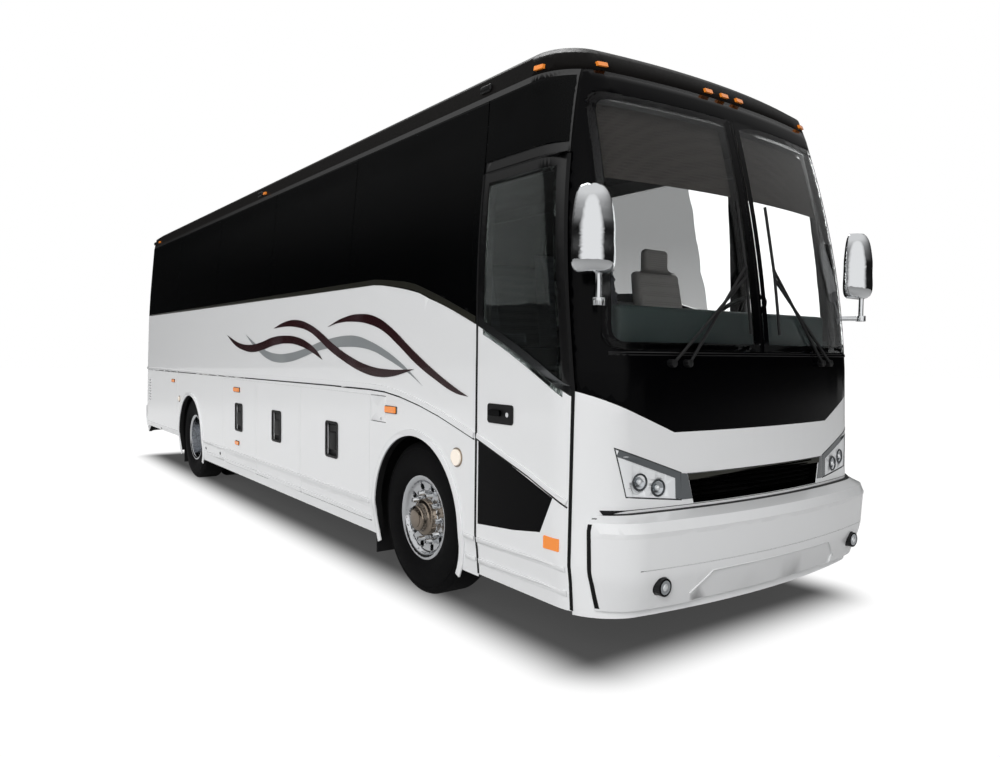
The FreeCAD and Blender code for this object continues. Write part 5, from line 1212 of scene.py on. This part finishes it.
@dataclass
class SideTrim:
    """Rail under the glass, waist moulding, door seals and wheel arch lips of both sides."""

    rail_rear: float = 0.012
    rail_front: float = 0.045
    rail_proud: float = 0.004
    rail_gap: float = 0.03
    door_x: Point = (4.09, 4.905)
    waist: tuple[Point, ...] = (
        (-4.99, 1.352), (-3.0, 1.364), (-0.12, 1.38), (1.90, 1.393), (2.65, 1.393), (2.89, 1.386),
        (3.12, 1.362), (3.40, 1.316), (3.66, 1.26), (3.90, 1.196), (4.06, 1.152))
    door_waist: tuple[Point, ...] = (
        (4.09, 1.155), (4.324, 1.081), (4.596, 0.995), (4.80, 0.918), (4.90, 0.872))
    moulding: float = 0.036
    moulding_proud: float = 0.013
    moulding_rounding: float = 0.011
    # Width and height of the dark strip under the moulding, a painted shadow line
    groove: float = 0.009
    groove_proud: float = 0.0015
    seam: float = 0.018
    seal_lift: float = 0.001
    front_seal: tuple[Point, ...] = ((4.917, 0.325), (4.917, 1.50), (4.7835, 2.762))
    rear_seal: tuple[Point, ...] = ((4.078, 0.325), (4.078, 2.762))
    top_seal: tuple[Point, ...] = ((4.078, 2.768), (4.782, 2.768))
    bumper_seal: tuple[Point, ...] = ((5.057, 0.365), (5.057, 0.838))
    arch_lip: float = 0.045
    arch_bottom: float = 0.27
    arch_proud: float = 0.012
    arch_rounding: float = 0.010
    bead: float = 0.030
    beads: dict[str, float] = field(default_factory=lambda: {"high": 0.545, "low": 0.412})
    spans: tuple[tuple[float, float, str, bool], ...] = (
        (-4.93, -3.10, "rear_flap_{side}", True), (-1.86, -1.045, "bus", True),
        (-1.025, 0.062, "luggage_door_{side}_1", True), (0.084, 1.252, "luggage_door_{side}_2", True),
        (1.274, 2.640, "luggage_door_{side}_3", True), (3.955, 4.062, "bus", True),
        (4.098, 4.895, "entrance_door", False))

    def build(self) -> None:
        """Lay the trim of both sides."""
        self.rail()
        self.waist_line()
        self.seals()
        self.arches()
        self.skirt()

    def skirt(self) -> None:
        """Two rolled beads along the skirt, in one length for each panel."""
        for number, (x0, x1, body, twin) in enumerate(self.spans, start=1):
            for place, z in self.beads.items():
                if place == "low" and body.startswith("rear_flap"):
                    continue
                trim("skirt_bead_%s_%d" % (place, number), ((x0, z), (x1, z)), self.bead, 0.08, WHITE_PAINT,
                     self.moulding_proud, "white_paint", body=body, twin=twin,
                     rounding=self.moulding_rounding)

    def rail(self) -> None:
        """Dark rail under the saloon glass, and the polished one on the entrance door."""
        x0, x1 = Belt.points[0][0], self.door_x[0] - self.rail_gap
        slope = (self.rail_front - self.rail_rear) / (x1 - x0)
        low = [(x, Belt.height(x)) for x in spread(x0, x1, 60)]
        high = [(x, z + self.rail_rear + slope * (x - x0)) for x, z in low]
        laid("window_rail", low + high[::-1], OLIVE_RAIL, self.rail_proud, "black_gloss")
        low = [(x, Belt.height(x)) for x in spread(*self.door_x, 20)]
        high = [(x, z + self.rail_front * 1.1) for x, z in low]
        laid("door_rail", low + high[::-1], ANODISED, self.rail_proud, "chrome", **ON_DOOR)

    def waist_line(self) -> None:
        """White moulding over a dark strip, a painted shadow line, along the saloon and over the entrance
        door.
        """
        for name, path, settings in (("waist", self.waist, {}), ("door_waist", self.door_waist, ON_DOOR)):
            rise = self.moulding / 2 + self.groove
            trim(name + "_moulding", [(x, z + rise) for x, z in path], self.moulding, 0.06, WHITE_PAINT,
                 self.moulding_proud, "white_paint", rounding=self.moulding_rounding, **settings)
            # Dark strip under the moulding: a painted shadow line
            trim(name + "_groove", path, self.groove, 0.06, SEAL_AND_SHADOW_LINE, self.groove_proud, **settings)

    def seals(self) -> None:
        """Rubber seals of the entrance door and of the seam behind the front corner."""
        for name, path in (("front", self.front_seal), ("rear", self.rear_seal), ("top", self.top_seal)):
            trim("door_%s_seal" % name, path, self.seam, 0.05, SEAL_AND_SHADOW_LINE, 0.002, lift=self.seal_lift, **ON_DOOR)
        corner = strip(self.front_seal, self.seam, 0.05)
        piece = plate("corner_seal_source", corner, -FORM.far[View.SIDE], 0.0, curved=False)
        FORM.press(piece, View.SIDE, self.seal_lift, 0.002)
        dress(mirrored_copy(piece, "corner_seal_left"), SEAL_AND_SHADOW_LINE, "bus")
        bpy.data.objects.remove(piece)
        trim("bumper_end_seal", self.bumper_seal, 0.020, 0.03, SEAL_AND_SHADOW_LINE, 0.002, lift=self.seal_lift / 2)

    def arches(self) -> None:
        """Rounded white lip round each wheel opening."""
        for name, (middle, radius) in zip(("front_arch_lip", "rear_arch_lip"), ARCHES):
            start = math.asin((self.arch_bottom - TYRE_RADIUS) / radius)
            reach = radius + self.arch_lip / 2
            path = [(middle + reach * math.cos(a), TYRE_RADIUS + reach * math.sin(a))
                    for a in spread(start, math.pi - start, 48)]
            trim(name, path, self.arch_lip, 0.2, WHITE_PAINT, self.arch_proud, "white_paint",
                 rounding=self.arch_rounding)


@dataclass
class SideFittings:
    """Latches, handle, lamps and small fittings of the sides."""

    amber: tuple[tuple[float, float, float, float, str], ...] = (
        (2.905, 3.075, 1.236, 1.290, "front_side_marker"),
        (-0.651, -0.453, 1.216, 1.270, "middle_side_marker"),
        (-0.592, -0.472, 0.636, 0.684, "low_side_marker"), (-3.42, -3.27, 1.216, 1.262, "rear_side_marker"))
    door_amber: Box = (4.735, 4.855, 0.628, 0.698)
    round_lamps: tuple[tuple[float, float, float], ...] = ((3.865, 1.02, 0.052), (-3.031, 1.004, 0.036))
    dots: tuple[Point, ...] = ((-1.814, 0.461), (-1.227, 0.464), (-4.102, 0.506))
    handle: Box = (4.20, 4.45, 1.27, 1.385)
    low_vent: Box = (-5.115, -5.085, 0.605, 0.838)
    filler_lock: Point = (2.835, 1.185)
    roof_places: tuple[float, ...] = (4.02, -0.05, -4.86)
    roof_edge: float = 3.29
    roof_block: Point3 = (0.11, 0.05, 0.045)
    latch_margin: float = 0.008
    latch_rim: float = 0.022
    # Rounding of the rim's outer and inner corners
    rim_corners: Point = (0.03, 0.018)
    rim_lift: float = 0.0003
    rim_depth: float = 0.006
    rim_bevel: float = 0.002
    # Half width, bottom and top of the paddle, in shares of the recess
    paddle_shares: Point3 = (0.3, 0.2, 0.72)
    paddle_corner: float = 0.02
    paddle_sunk: float = 0.018
    paddle_depth: float = 0.014
    paddle_bevel: float = 0.004
    plate_corner: float = 0.008
    plate_proud: float = 0.006
    lens_corner: float = 0.006
    lens_margin: float = 0.005
    lens_proud: float = 0.014
    # Ring and glass of a round lamp, in shares of its radius
    round_shares: Point = (1.2, 0.86)
    ring_proud: float = 0.004
    glass_proud: float = 0.012
    plug_radius: float = 0.017
    lock_radius: float = 0.012
    flat_proud: float = 0.003

    def build(self) -> None:
        """Make and place every fitting."""
        for number, (x, z) in enumerate(LATCH_PLACES, start=1):
            self.make_latch(number, x, z)
        self.make_handle()
        for x0, x1, z0, z1, name in self.amber:
            base, margin = rounded_box(x0, x1, z0, z1, self.plate_corner), self.lens_margin
            laid(name + "_base", base, BLACK_ABS, self.plate_proud, "black_plastic")
            lens = rounded_box(x0 + margin, x1 - margin, z0 + margin, z1 - margin, self.lens_corner)
            laid(name, lens, AMBER, self.lens_proud, "amber_lens")
        lens = rounded_box(*self.door_amber, self.lens_corner)
        laid("door_marker", lens, AMBER, self.plate_proud, "amber_lens", **ON_DOOR)
        for number, (x, z, radius) in enumerate(self.round_lamps, start=1):
            ring, glass = (circle(x, z, radius * share) for share in self.round_shares)
            laid("arch_lamp_ring_%d" % number, ring, BRONZE, self.ring_proud, "chrome")
            laid("arch_lamp_%d" % number, glass, WHITE_LENS, self.glass_proud, "amber_lens")
        for number, place in enumerate(self.dots, start=1):
            laid("skirt_plug_%d" % number, circle(*place, self.plug_radius, 20), SEAL_AND_SHADOW_LINE, self.flat_proud)
        vent = rounded_box(*self.low_vent, self.plate_corner)
        laid("rear_low_vent", vent, BLACK_ABS, self.flat_proud, "black_plastic")
        for number, x in enumerate(self.roof_places, start=1):
            self.roof_fitting(number, x)
        lock = circle(*self.filler_lock, self.lock_radius, 20)
        laid("filler_lock", lock, CHROME, self.flat_proud, "chrome", body="filler_flap", twin=False)

    def make_latch(self, number: int, x: float, z: float) -> None:
        """Dark dished latch plate with a paddle, on both sides.

        Args:
            number: Number of the luggage door.
            x: Middle of the latch.
            z: Bottom of the latch.
        """
        width, height = LATCH_SIZE
        x0, x1 = x - width / 2 - self.latch_margin, x + width / 2 + self.latch_margin
        z0, z1, edge = z - self.latch_margin, z + height + self.latch_margin, self.latch_rim
        outer, inner = self.rim_corners
        outline = rounded_box(x0, x1, z0, z1, outer)
        opening = rounded_box(x0 + edge, x1 - edge, z0 + edge, z1 - edge, inner)
        rim = plate("latch_rim_%d_right" % number, outline, -WALL - self.rim_lift, self.rim_depth,
                    bevel=self.rim_bevel, curved=False, hole=opening)
        half, bottom, top = self.paddle_shares
        grip = rounded_box(x - width * half, x + width * half, z + height * bottom, z + height * top,
                           self.paddle_corner)
        paddle = plate("latch_paddle_%d_right" % number, grip, -WALL + self.paddle_sunk, self.paddle_depth,
                       bevel=self.paddle_bevel, curved=False)
        for piece in (rim, paddle):
            pair(piece, BLACK_ABS, "luggage_door_{side}_%d" % number)

    def make_handle(self) -> None:
        """Dished door handle with a bar across it."""
        x0, x1, z0, z1 = self.handle
        back = rounded_box(x0, x1, z0, z1, 0.02)
        bar = rounded_box(x0 + 0.03, x1 - 0.11, z0 + 0.045, z1 - 0.035, 0.012)
        lock = circle(x1 - 0.05, (z0 + z1) / 2, 0.014, 24)
        laid("door_handle_plate", back, BLACK_ABS, 0.006, "black_plastic", **ON_DOOR)
        laid("door_handle_bar", bar, BLACK_PAINT, 0.022, "black_plastic", **ON_DOOR)
        laid("door_lock", lock, CHROME, 0.010, "chrome", **ON_DOOR)

    def roof_fitting(self, number: int, x: float) -> None:
        """Small moulded block on the edge of the roof.

        Args:
            number: Number of the block, counted from the front.
            x: Its place along the bus.
        """
        place = FORM.touch(View.SIDE, x, self.roof_edge) + Vector((0.0, 0.01, 0.01))
        bpy.ops.mesh.primitive_cube_add(size=1, location=place, scale=self.roof_block)
        block = bpy.context.active_object
        modify(block, "BEVEL", width=0.012, segments=3)
        pair(settle(block, "roof_fitting_%d_right" % number), BLACK_ABS, "bus")


@dataclass
class FrontTrim:
    """Headlamp details, grille bar, bumper seams and fog lamps."""

    lamp: tuple[Point, ...] = ((-0.69, 0.898), (-1.052, 0.938), (-1.11, 1.195), (-0.69, 1.045))
    light_strip: tuple[Point, ...] = ((-1.094, 1.168), (-0.712, 1.031), (-0.709, 0.905))
    round_lamps: tuple[Point, ...] = ((-0.966, 1.012), (-0.848, 0.974))
    lamp_radius: float = 0.046
    relief: tuple[Point, ...] = ((-0.70, 0.405), (-0.565, 0.522), (0.565, 0.522), (0.70, 0.405))
    bridge: tuple[Point, ...] = ((-0.690, 0.899), (-0.610, 0.899), (-0.646, 1.038), (-0.690, 1.043))
    fog: Point = (-0.915, 0.478)
    fog_radius: float = 0.047

    def build(self) -> None:
        """Make every detail of the front."""
        self.strips()
        laid("lamp_bridge", self.bridge, LIGHT_STRIP, 0.003, "lamp_grey", View.FRONT, cuts=2)
        for number, (y, z) in enumerate(self.round_lamps, start=1):
            self.projector("head_lamp_%d" % number, y, z, self.lamp_radius)
        self.fog_face()

    def strips(self) -> None:
        """Outline and light strip of the lamps, bars of the grille, and lines of the bumper and screen, one
        of them a painted shadow line along the bumper's crease.
        """
        one, two = {"twin": False}, {}
        for name, path, width, step, finish, thickness, slot, settings in (
                ("lamp_outline", self.lamp, 0.007, 0.03, SEALANT_AND_SHADOW_LINE, 0.001, "rubber", {"closed": True}),
                ("light_strip", self.light_strip, 0.036, 0.02, LIGHT_STRIP, 0.004, "lamp_grey", two),
                ("grille_bar", self.across(0.635, 1.019), 0.034, 0.04, OLIVE_RAIL, 0.005, "black_plastic",
                 one),
                ("grille_edge", self.across(0.645, 1.037), 0.005, 0.04, ANODISED, 0.006, "chrome", one),
                ("bumper_top_seal", self.across(1.178, 0.860), 0.020, 0.0295, SEAL_AND_SHADOW_LINE, 0.003, "rubber",
                 {**one, "lift": 0.0005}),
                ("bumper_relief_edge", self.relief, 0.009, 0.03, WHITE_PAINT, 0.004, "white_paint",
                 {**one, "rounding": 0.0035}),
                # Thin dark strip along the bumper's crease: a painted shadow line
                ("bumper_crease_painted_shadow", self.across(1.06, 0.575), 0.004, 0.04, SEALANT_AND_SHADOW_LINE, 0.0006, "rubber", one),
                ("screen_sill", self.across(1.135, 1.690), 0.020, 0.04, BLACK_ABS, 0.006, "rubber", one)):
            trim(name, path, width, step, finish, thickness, slot, view=View.FRONT, **settings)

    @staticmethod
    def across(half: float, z: float) -> tuple[Point, Point]:
        """Level path across the middle of the nose."""
        return (-half, z), (half, z)

    def fog_face(self) -> None:
        """Reflector, rim and bulb on the front of each fog lamp."""
        y, z = self.fog
        level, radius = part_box("fog_lamps")[1].x + 0.0002, self.fog_radius
        dish = circle(y, z, radius * 0.78)
        mirror = plate("fog_reflector_right", dish, level, 0.0015, View.FRONT, curved=False)
        ring = torus("fog_rim_right", (level, y, z), (0, math.pi / 2, 0), radius * 0.86, 0.004, (48, 10))
        bulb = ball("fog_bulb_right", (level, y, z), radius * 0.42, scale=(0.4, 1, 1))
        pair(mirror, REFLECTOR, "bus")
        pair(ring, BLACK_PAINT, "bus")
        pair(bulb, CLEAR_BULB, "bus")

    @staticmethod
    def facing(y: float, z: float, reach: float) -> tuple[Vector, Vector]:
        """Middle and direction of the body's face round a place.

        Args:
            y: Place across the bus.
            z: Its height.
            reach: How far from the place the face is measured.

        Returns:
            Middle of the face, and its direction outwards.
        """
        ways = ((reach, 0), (-reach, 0), (0, reach), (0, -reach))
        sides = [FORM.touch(View.FRONT, y + a, z + b) for a, b in ways]
        across, above = sides[0] - sides[1], sides[2] - sides[3]
        return sum(sides, Vector()) / len(sides), across.cross(above).normalized()

    def projector(self, name: str, y: float, z: float, radius: float) -> None:
        """Round lamp: rim, dish and bulb, turned to the lamp's face, on both sides.

        Args:
            name: Name of the lamp.
            y: Middle of the lamp across the bus.
            z: Height of the middle.
            radius: Radius of the rim.
        """
        middle, outwards = self.facing(y, z, radius * 1.4)
        middle = middle + outwards * 0.002
        turn = outwards.to_track_quat("Z", "Y").to_euler()
        ring = torus(name + "_rim_right", middle, turn, radius * 0.92, radius * 0.12, (48, 12))
        dish = ball(name + "_dish_right", middle, radius * 0.88, 40, rotation=turn, scale=(1, 1, 0.4))
        edit(dish, bpy.ops.mesh.bisect, plane_co=middle, plane_no=outwards, clear_outer=True)
        edit(dish, bpy.ops.mesh.flip_normals)
        modify(dish, "SOLIDIFY", thickness=0.001, offset=-1.0)
        bulb = ball(name + "_bulb_right", middle - outwards * radius * 0.15, radius * 0.34)
        pair(ring, LAMP_BEZEL, "bus")
        pair(dish, REFLECTOR, "bus")
        pair(bulb, CLEAR_BULB, "bus")


@dataclass
class WheelTrim:
    """Hub faces and tyre rings of the front and rear wheels."""

    drum_radius: float = 0.236
    drum_wall: float = 0.09
    drum_depth: float = 0.09
    drum_inset: float = 0.155
    drum_rounding: float = 0.006
    cap_radius: float = 0.062
    cap_depth: float = 0.004
    cap_gap: float = 0.0002
    cap_rounding: float = 0.0015
    bead_radius: float = 0.292
    ring_shares: Point = (0.62, 0.80)
    ring_inset: float = 0.012
    ring_radius: float = 0.004

    @staticmethod
    def outer_face(node: str, side: int) -> float:
        """Place across the bus of a wheel part's outer face."""
        low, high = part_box(node)
        return low.y if side == RIGHT else high.y

    @staticmethod
    def turned(name: str, place: Point3, radius: float, depth: float, rounding: float,
               wall: float = 0.0) -> Piece:
        """Part turned on an axle's line.

        Args:
            name: Name of the part.
            place: Its middle.
            radius: Its radius.
            depth: Its size along the axle.
            rounding: Bevel of its edges.
            wall: Thickness of an open drum's wall, or nothing for a solid disc.

        Returns:
            The part as a mesh at the origin.
        """
        bpy.ops.mesh.primitive_cylinder_add(vertices=64, radius=radius, depth=depth, location=place,
                                            rotation=AXLE_TURN, end_fill_type="NOTHING" if wall else "NGON")
        piece = bpy.context.active_object
        if wall:
            modify(piece, "SOLIDIFY", thickness=wall, offset=-1.0)
        modify(piece, "BEVEL", width=rounding, segments=2, limit_method="ANGLE")
        return settle(piece, name)

    def hub(self, name: str, side: int, wall_y: float) -> None:
        """Brake drum behind a front wheel's disc, and the flat bronze cover of its hub.

        Args:
            name: Name of the side.
            side: Sign of the side.
            wall_y: Outer face of the tyre.
        """
        body = "wheel_front_" + name
        place = (FRONT_AXLE_X, wall_y - side * self.drum_inset, TYRE_RADIUS)
        drum = self.turned("brake_drum_" + name, place, self.drum_radius, self.drum_depth, self.drum_rounding,
                           self.drum_wall)
        dress(drum, CAST_IRON, body)
        face = self.outer_face("rim_front_" + name, side) + side * (self.cap_depth / 2 + self.cap_gap)
        cap = self.turned("hub_cap_" + name, (FRONT_AXLE_X, face, TYRE_RADIUS), self.cap_radius,
                          self.cap_depth, self.cap_rounding)
        dress(cap, BRONZE, body)

    def build(self) -> None:
        """Put the drums and caps on the front wheels and raised rings on each tyre."""
        for place, middle in (("front", FRONT_AXLE_X), ("rear", REAR_AXLE_X)):
            for side, name in SIDE_NAMES.items():
                wheel = "%s_%s" % (place, name)
                wall_y = self.outer_face("tyre_" + wheel, side)
                if place == "front":
                    self.hub(name, side, wall_y)
                for number, share in enumerate(self.ring_shares):
                    radius = self.bead_radius + (TYRE_RADIUS - self.bead_radius) * share
                    spot = (middle, wall_y - side * self.ring_inset, TYRE_RADIUS)
                    ring = torus("tyre_ring_%s_%d" % (wheel, number), spot, AXLE_TURN, radius,
                                 self.ring_radius, (96, 8))
                    dress(ring, TYRE, "wheel_" + wheel)


@dataclass
class Studio:
    """Pale floor, soft lamps and the camera at the photograph's place."""

    camera_place: Point3 = (7.918, -3.9446, 1.6918)
    yaw: float = 143.663
    pitch: float = -2.007
    roll: float = 0.644
    focal_pixels: float = 765.83
    frame_pixels: float = 1000.0
    sensor_mm: float = 36.0
    floor_size: float = 120.0
    room_light: float = 0.30
    horizon_light: float = 0.12
    dark_wall: float = 0.010
    mirror_light: float = 0.75
    card_towards: Point3 = (0.84, -0.54, 0.0)
    card_light: float = 0.9
    # Painted shadow under the bus: to the camera the floor shows the dark colour below, with a white lift
    # that is this weak over the bus's footprint (shrunk by the shade inset) and grows to full white over the
    # given distance beyond it
    painted_shadow_lift: float = 0.055
    white_from: float = 0.5
    shade_inset: Point = (0.5, 0.25)
    floor_colour: str = "C4C4C4"
    painted_shadow_colour: str = "3C3C3C"
    # Brightness of the backdrop seen through glass, at the horizon and above it: a painted shade that darkens
    # the view through the windows upwards
    glass_view: Point = (1.0, 0.55)
    # Heights of a direction, or nearness to the card's middle, over which each light grows
    room_rise: Point = (0.0, 0.75)
    wall_rise: Point = (0.12, 0.8)
    glass_rise: Point = (-0.02, 0.14)
    card_edge: Point = (0.45, 0.8)
    # Kind, place, target, angle or side, power and whether glossy surfaces show it
    lights: dict[str, tuple[str, Point3, Point3, float, float, bool]] = field(default_factory=lambda: {
        "corner_light": ("SUN", (12.0, -15.5, 9.5), (0.0, 0.0, 0.0), math.radians(34), 2.05, False),
        "rear_softbox": ("AREA", (-9.0, -12.0, 6.0), (-3.0, -1.0, 1.5), 6.0, 420, False),
        "left_softbox": ("AREA", (-1.0, 12.0, 5.0), (0.0, 1.0, 1.5), 8.0, 420, False),
        "tail_softbox": ("AREA", (-15.0, 1.0, 6.0), (-5.0, 0.0, 1.5), 6.0, 300, False),
        "top_softbox": ("AREA", (-1.0, 1.0, 11.0), (0.0, 0.0, 0.0), 5.0, 420, True)})

    def build(self) -> None:
        """Make the camera, the floor, the world and the lamps."""
        self.camera()
        self.floor()
        self.world()
        for name, row in self.lights.items():
            self.light(name, *row)
        bpy.context.scene.view_settings.view_transform = "Standard"

    def camera(self) -> None:
        """Place the camera by its measured yaw, pitch and roll."""
        yaw, pitch, roll = (math.radians(a) for a in (self.yaw, self.pitch, self.roll))
        ahead = Vector((math.cos(yaw) * math.cos(pitch), math.sin(yaw) * math.cos(pitch), math.sin(pitch)))
        right = ahead.cross(Vector((0, 0, 1))).normalized()
        up = right.cross(ahead)
        across = right * math.cos(roll) + up * math.sin(roll)
        above = up * math.cos(roll) - right * math.sin(roll)
        data = bpy.data.cameras.new("camera")
        data.sensor_width = self.sensor_mm
        data.lens = self.focal_pixels / self.frame_pixels * self.sensor_mm
        data.clip_end = 400.0
        camera = linked("camera", data)
        turn = Matrix((across, above, -ahead)).transposed().to_4x4()
        camera.matrix_world = Matrix.Translation(self.camera_place) @ turn
        bpy.context.scene.camera = camera

    @staticmethod
    def seen(path: bpy.types.Node) -> Socket:
        """Value that is 1 for rays of the camera and through glass, and 0 for light and reflections."""
        rays = [path.outputs[kind] for kind in ("Is Camera Ray", "Is Transmission Ray")]
        return add_node(path.id_data, "ShaderNodeMath", rays, operation="MAXIMUM").outputs[0]

    @staticmethod
    def white(tree: Tree, kind: str, strength: Socket) -> Socket:
        """White light of a given strength."""
        return add_node(tree, kind, {"Color": linear("FFFFFF"), "Strength": strength}).outputs[0]

    def floor(self) -> None:
        """Lay the pale floor, which shows white to the camera, with a painted shadow under the bus: there it
        shows a dark floor colour and only a weak white lift, which grows to full white beyond the footprint;
        the real shadow of the lamps falls on it too.
        """
        bpy.ops.mesh.primitive_plane_add(size=self.floor_size, location=(0, 0, 0))
        floor = bpy.context.active_object
        floor.name = "studio_floor"
        material = bpy.data.materials.new("painted_studio_floor")
        tree = new_tree(material)
        lit, under = (add_node(tree, "ShaderNodeBsdfDiffuse", {"Color": linear(colour)}).outputs[0]
                      for colour in (self.floor_colour, self.painted_shadow_colour))
        place = add_node(tree, "ShaderNodeTexCoord").outputs["Object"]
        parts = add_node(tree, "ShaderNodeSeparateXYZ", {"Vector": place})
        squares = []
        for axis, half in (("X", CAD_BOX[1].x - self.shade_inset[0]), ("Y", WALL - self.shade_inset[1])):
            value = parts.outputs[axis]
            for sum_kind, other in (("ABSOLUTE", 0.0), ("SUBTRACT", half), ("MAXIMUM", 0.0), ("POWER", 2.0)):
                value = add_node(tree, "ShaderNodeMath", (value, other), operation=sum_kind).outputs[0]
            squares.append(value)
        total = add_node(tree, "ShaderNodeMath", squares, operation="ADD").outputs[0]
        distance = add_node(tree, "ShaderNodeMath", (total, 0.5), operation="POWER").outputs[0]
        # Weak white lift over the bus's footprint and full white beyond it: the painted shadow
        strength = add_node(tree, "ShaderNodeMapRange", (distance, 0.0, self.white_from, self.painted_shadow_lift, 1.0),
                            interpolation_type="SMOOTHSTEP").outputs["Result"]
        lift = self.white(tree, "ShaderNodeEmission", strength)
        shown = add_node(tree, "ShaderNodeAddShader", (under, lift)).outputs[0]
        seen = self.seen(add_node(tree, "ShaderNodeLightPath"))
        surface = add_node(tree, "ShaderNodeMixShader", (seen, lit, shown)).outputs[0]
        add_node(tree, "ShaderNodeOutputMaterial", {"Surface": surface})
        floor.data.materials.append(material)

    def world(self) -> None:
        """White to the camera; through glass, white at the horizon and darker above it, a painted shade of
        the view through the windows; a soft gradient for light, a dark wall for reflections.
        """
        world = bpy.data.worlds.new("studio_room")
        bpy.context.scene.world = world
        tree = new_tree(world)
        sky = add_node(tree, "ShaderNodeTexCoord").outputs["Generated"]
        rise = add_node(tree, "ShaderNodeSeparateXYZ", {"Vector": sky}).outputs["Z"]
        path = add_node(tree, "ShaderNodeLightPath")
        facing = add_node(tree, "ShaderNodeVectorMath", (sky, self.card_towards), operation="DOT_PRODUCT")
        room, glow, card, fall = (
            add_node(tree, "ShaderNodeMapRange", (way, *source, *target), interpolation_type=kind).outputs[0]
            for way, source, target, kind in (
                (rise, self.room_rise, (self.horizon_light, self.room_light), "SMOOTHSTEP"),
                (rise, self.wall_rise, (self.dark_wall, self.mirror_light), "SMOOTHSTEP"),
                (facing.outputs["Value"], self.card_edge, (0.0, self.card_light), "SMOOTHSTEP"),
                (rise, self.glass_rise, self.glass_view, "LINEAR")))
        # Through glass the backdrop darkens upwards: a painted shade in the view through the windows
        ends = {"Factor": path.outputs["Is Transmission Ray"], "A": 1.0, "B": fall}
        level = add_node(tree, "ShaderNodeMix", ends, data_type="FLOAT").outputs[0]
        wall = add_node(tree, "ShaderNodeMath", (glow, card), operation="MAXIMUM").outputs[0]
        room, mirrored, white = (self.white(tree, "ShaderNodeBackground", strength)
                                 for strength in (room, wall, level))
        unseen = add_node(tree, "ShaderNodeMixShader", (path.outputs["Is Glossy Ray"], room, mirrored))
        surface = add_node(tree, "ShaderNodeMixShader", (self.seen(path), unseen.outputs[0], white))
        add_node(tree, "ShaderNodeOutputWorld", {"Surface": surface.outputs[0]})

    @staticmethod
    def light(name: str, kind: str, place: Point3, target: Point3, extent: float, power: float,
              mirrored: bool) -> None:
        """Add one light that points at a place.

        Args:
            name: Name of the light.
            kind: Sun or square softbox.
            place: Where it hangs.
            target: Where it points.
            extent: Angle of a sun, or side of a softbox.
            power: Its strength, in watts for a softbox.
            mirrored: Whether glossy surfaces show it.
        """
        data = bpy.data.lights.new(name, kind)
        setattr(data, "angle" if kind == "SUN" else "size", extent)
        data.energy = power
        light = linked(name, data)
        light.visible_glossy = mirrored
        aim = Vector(target) - Vector(place)
        light.matrix_world = Matrix.Translation(place) @ aim.to_track_quat("-Z", "Y").to_matrix().to_4x4()


def main() -> None:
    """Build the studio and dress the bus."""
    logging.basicConfig(level=logging.INFO, format="%(name)s: %(message)s")
    Studio().build()
    for group in (BodyPanels(), PlainNodes(), Seats(), FORM, CabTrim(), Glazing(), SideGraphics(), SideTrim(),
                  SideFittings(), FrontTrim(), WheelTrim()):
        group.build()
        log.info("%s done", type(group).__name__)
    FORM.remove()


if __name__ == "__main__":
    main()
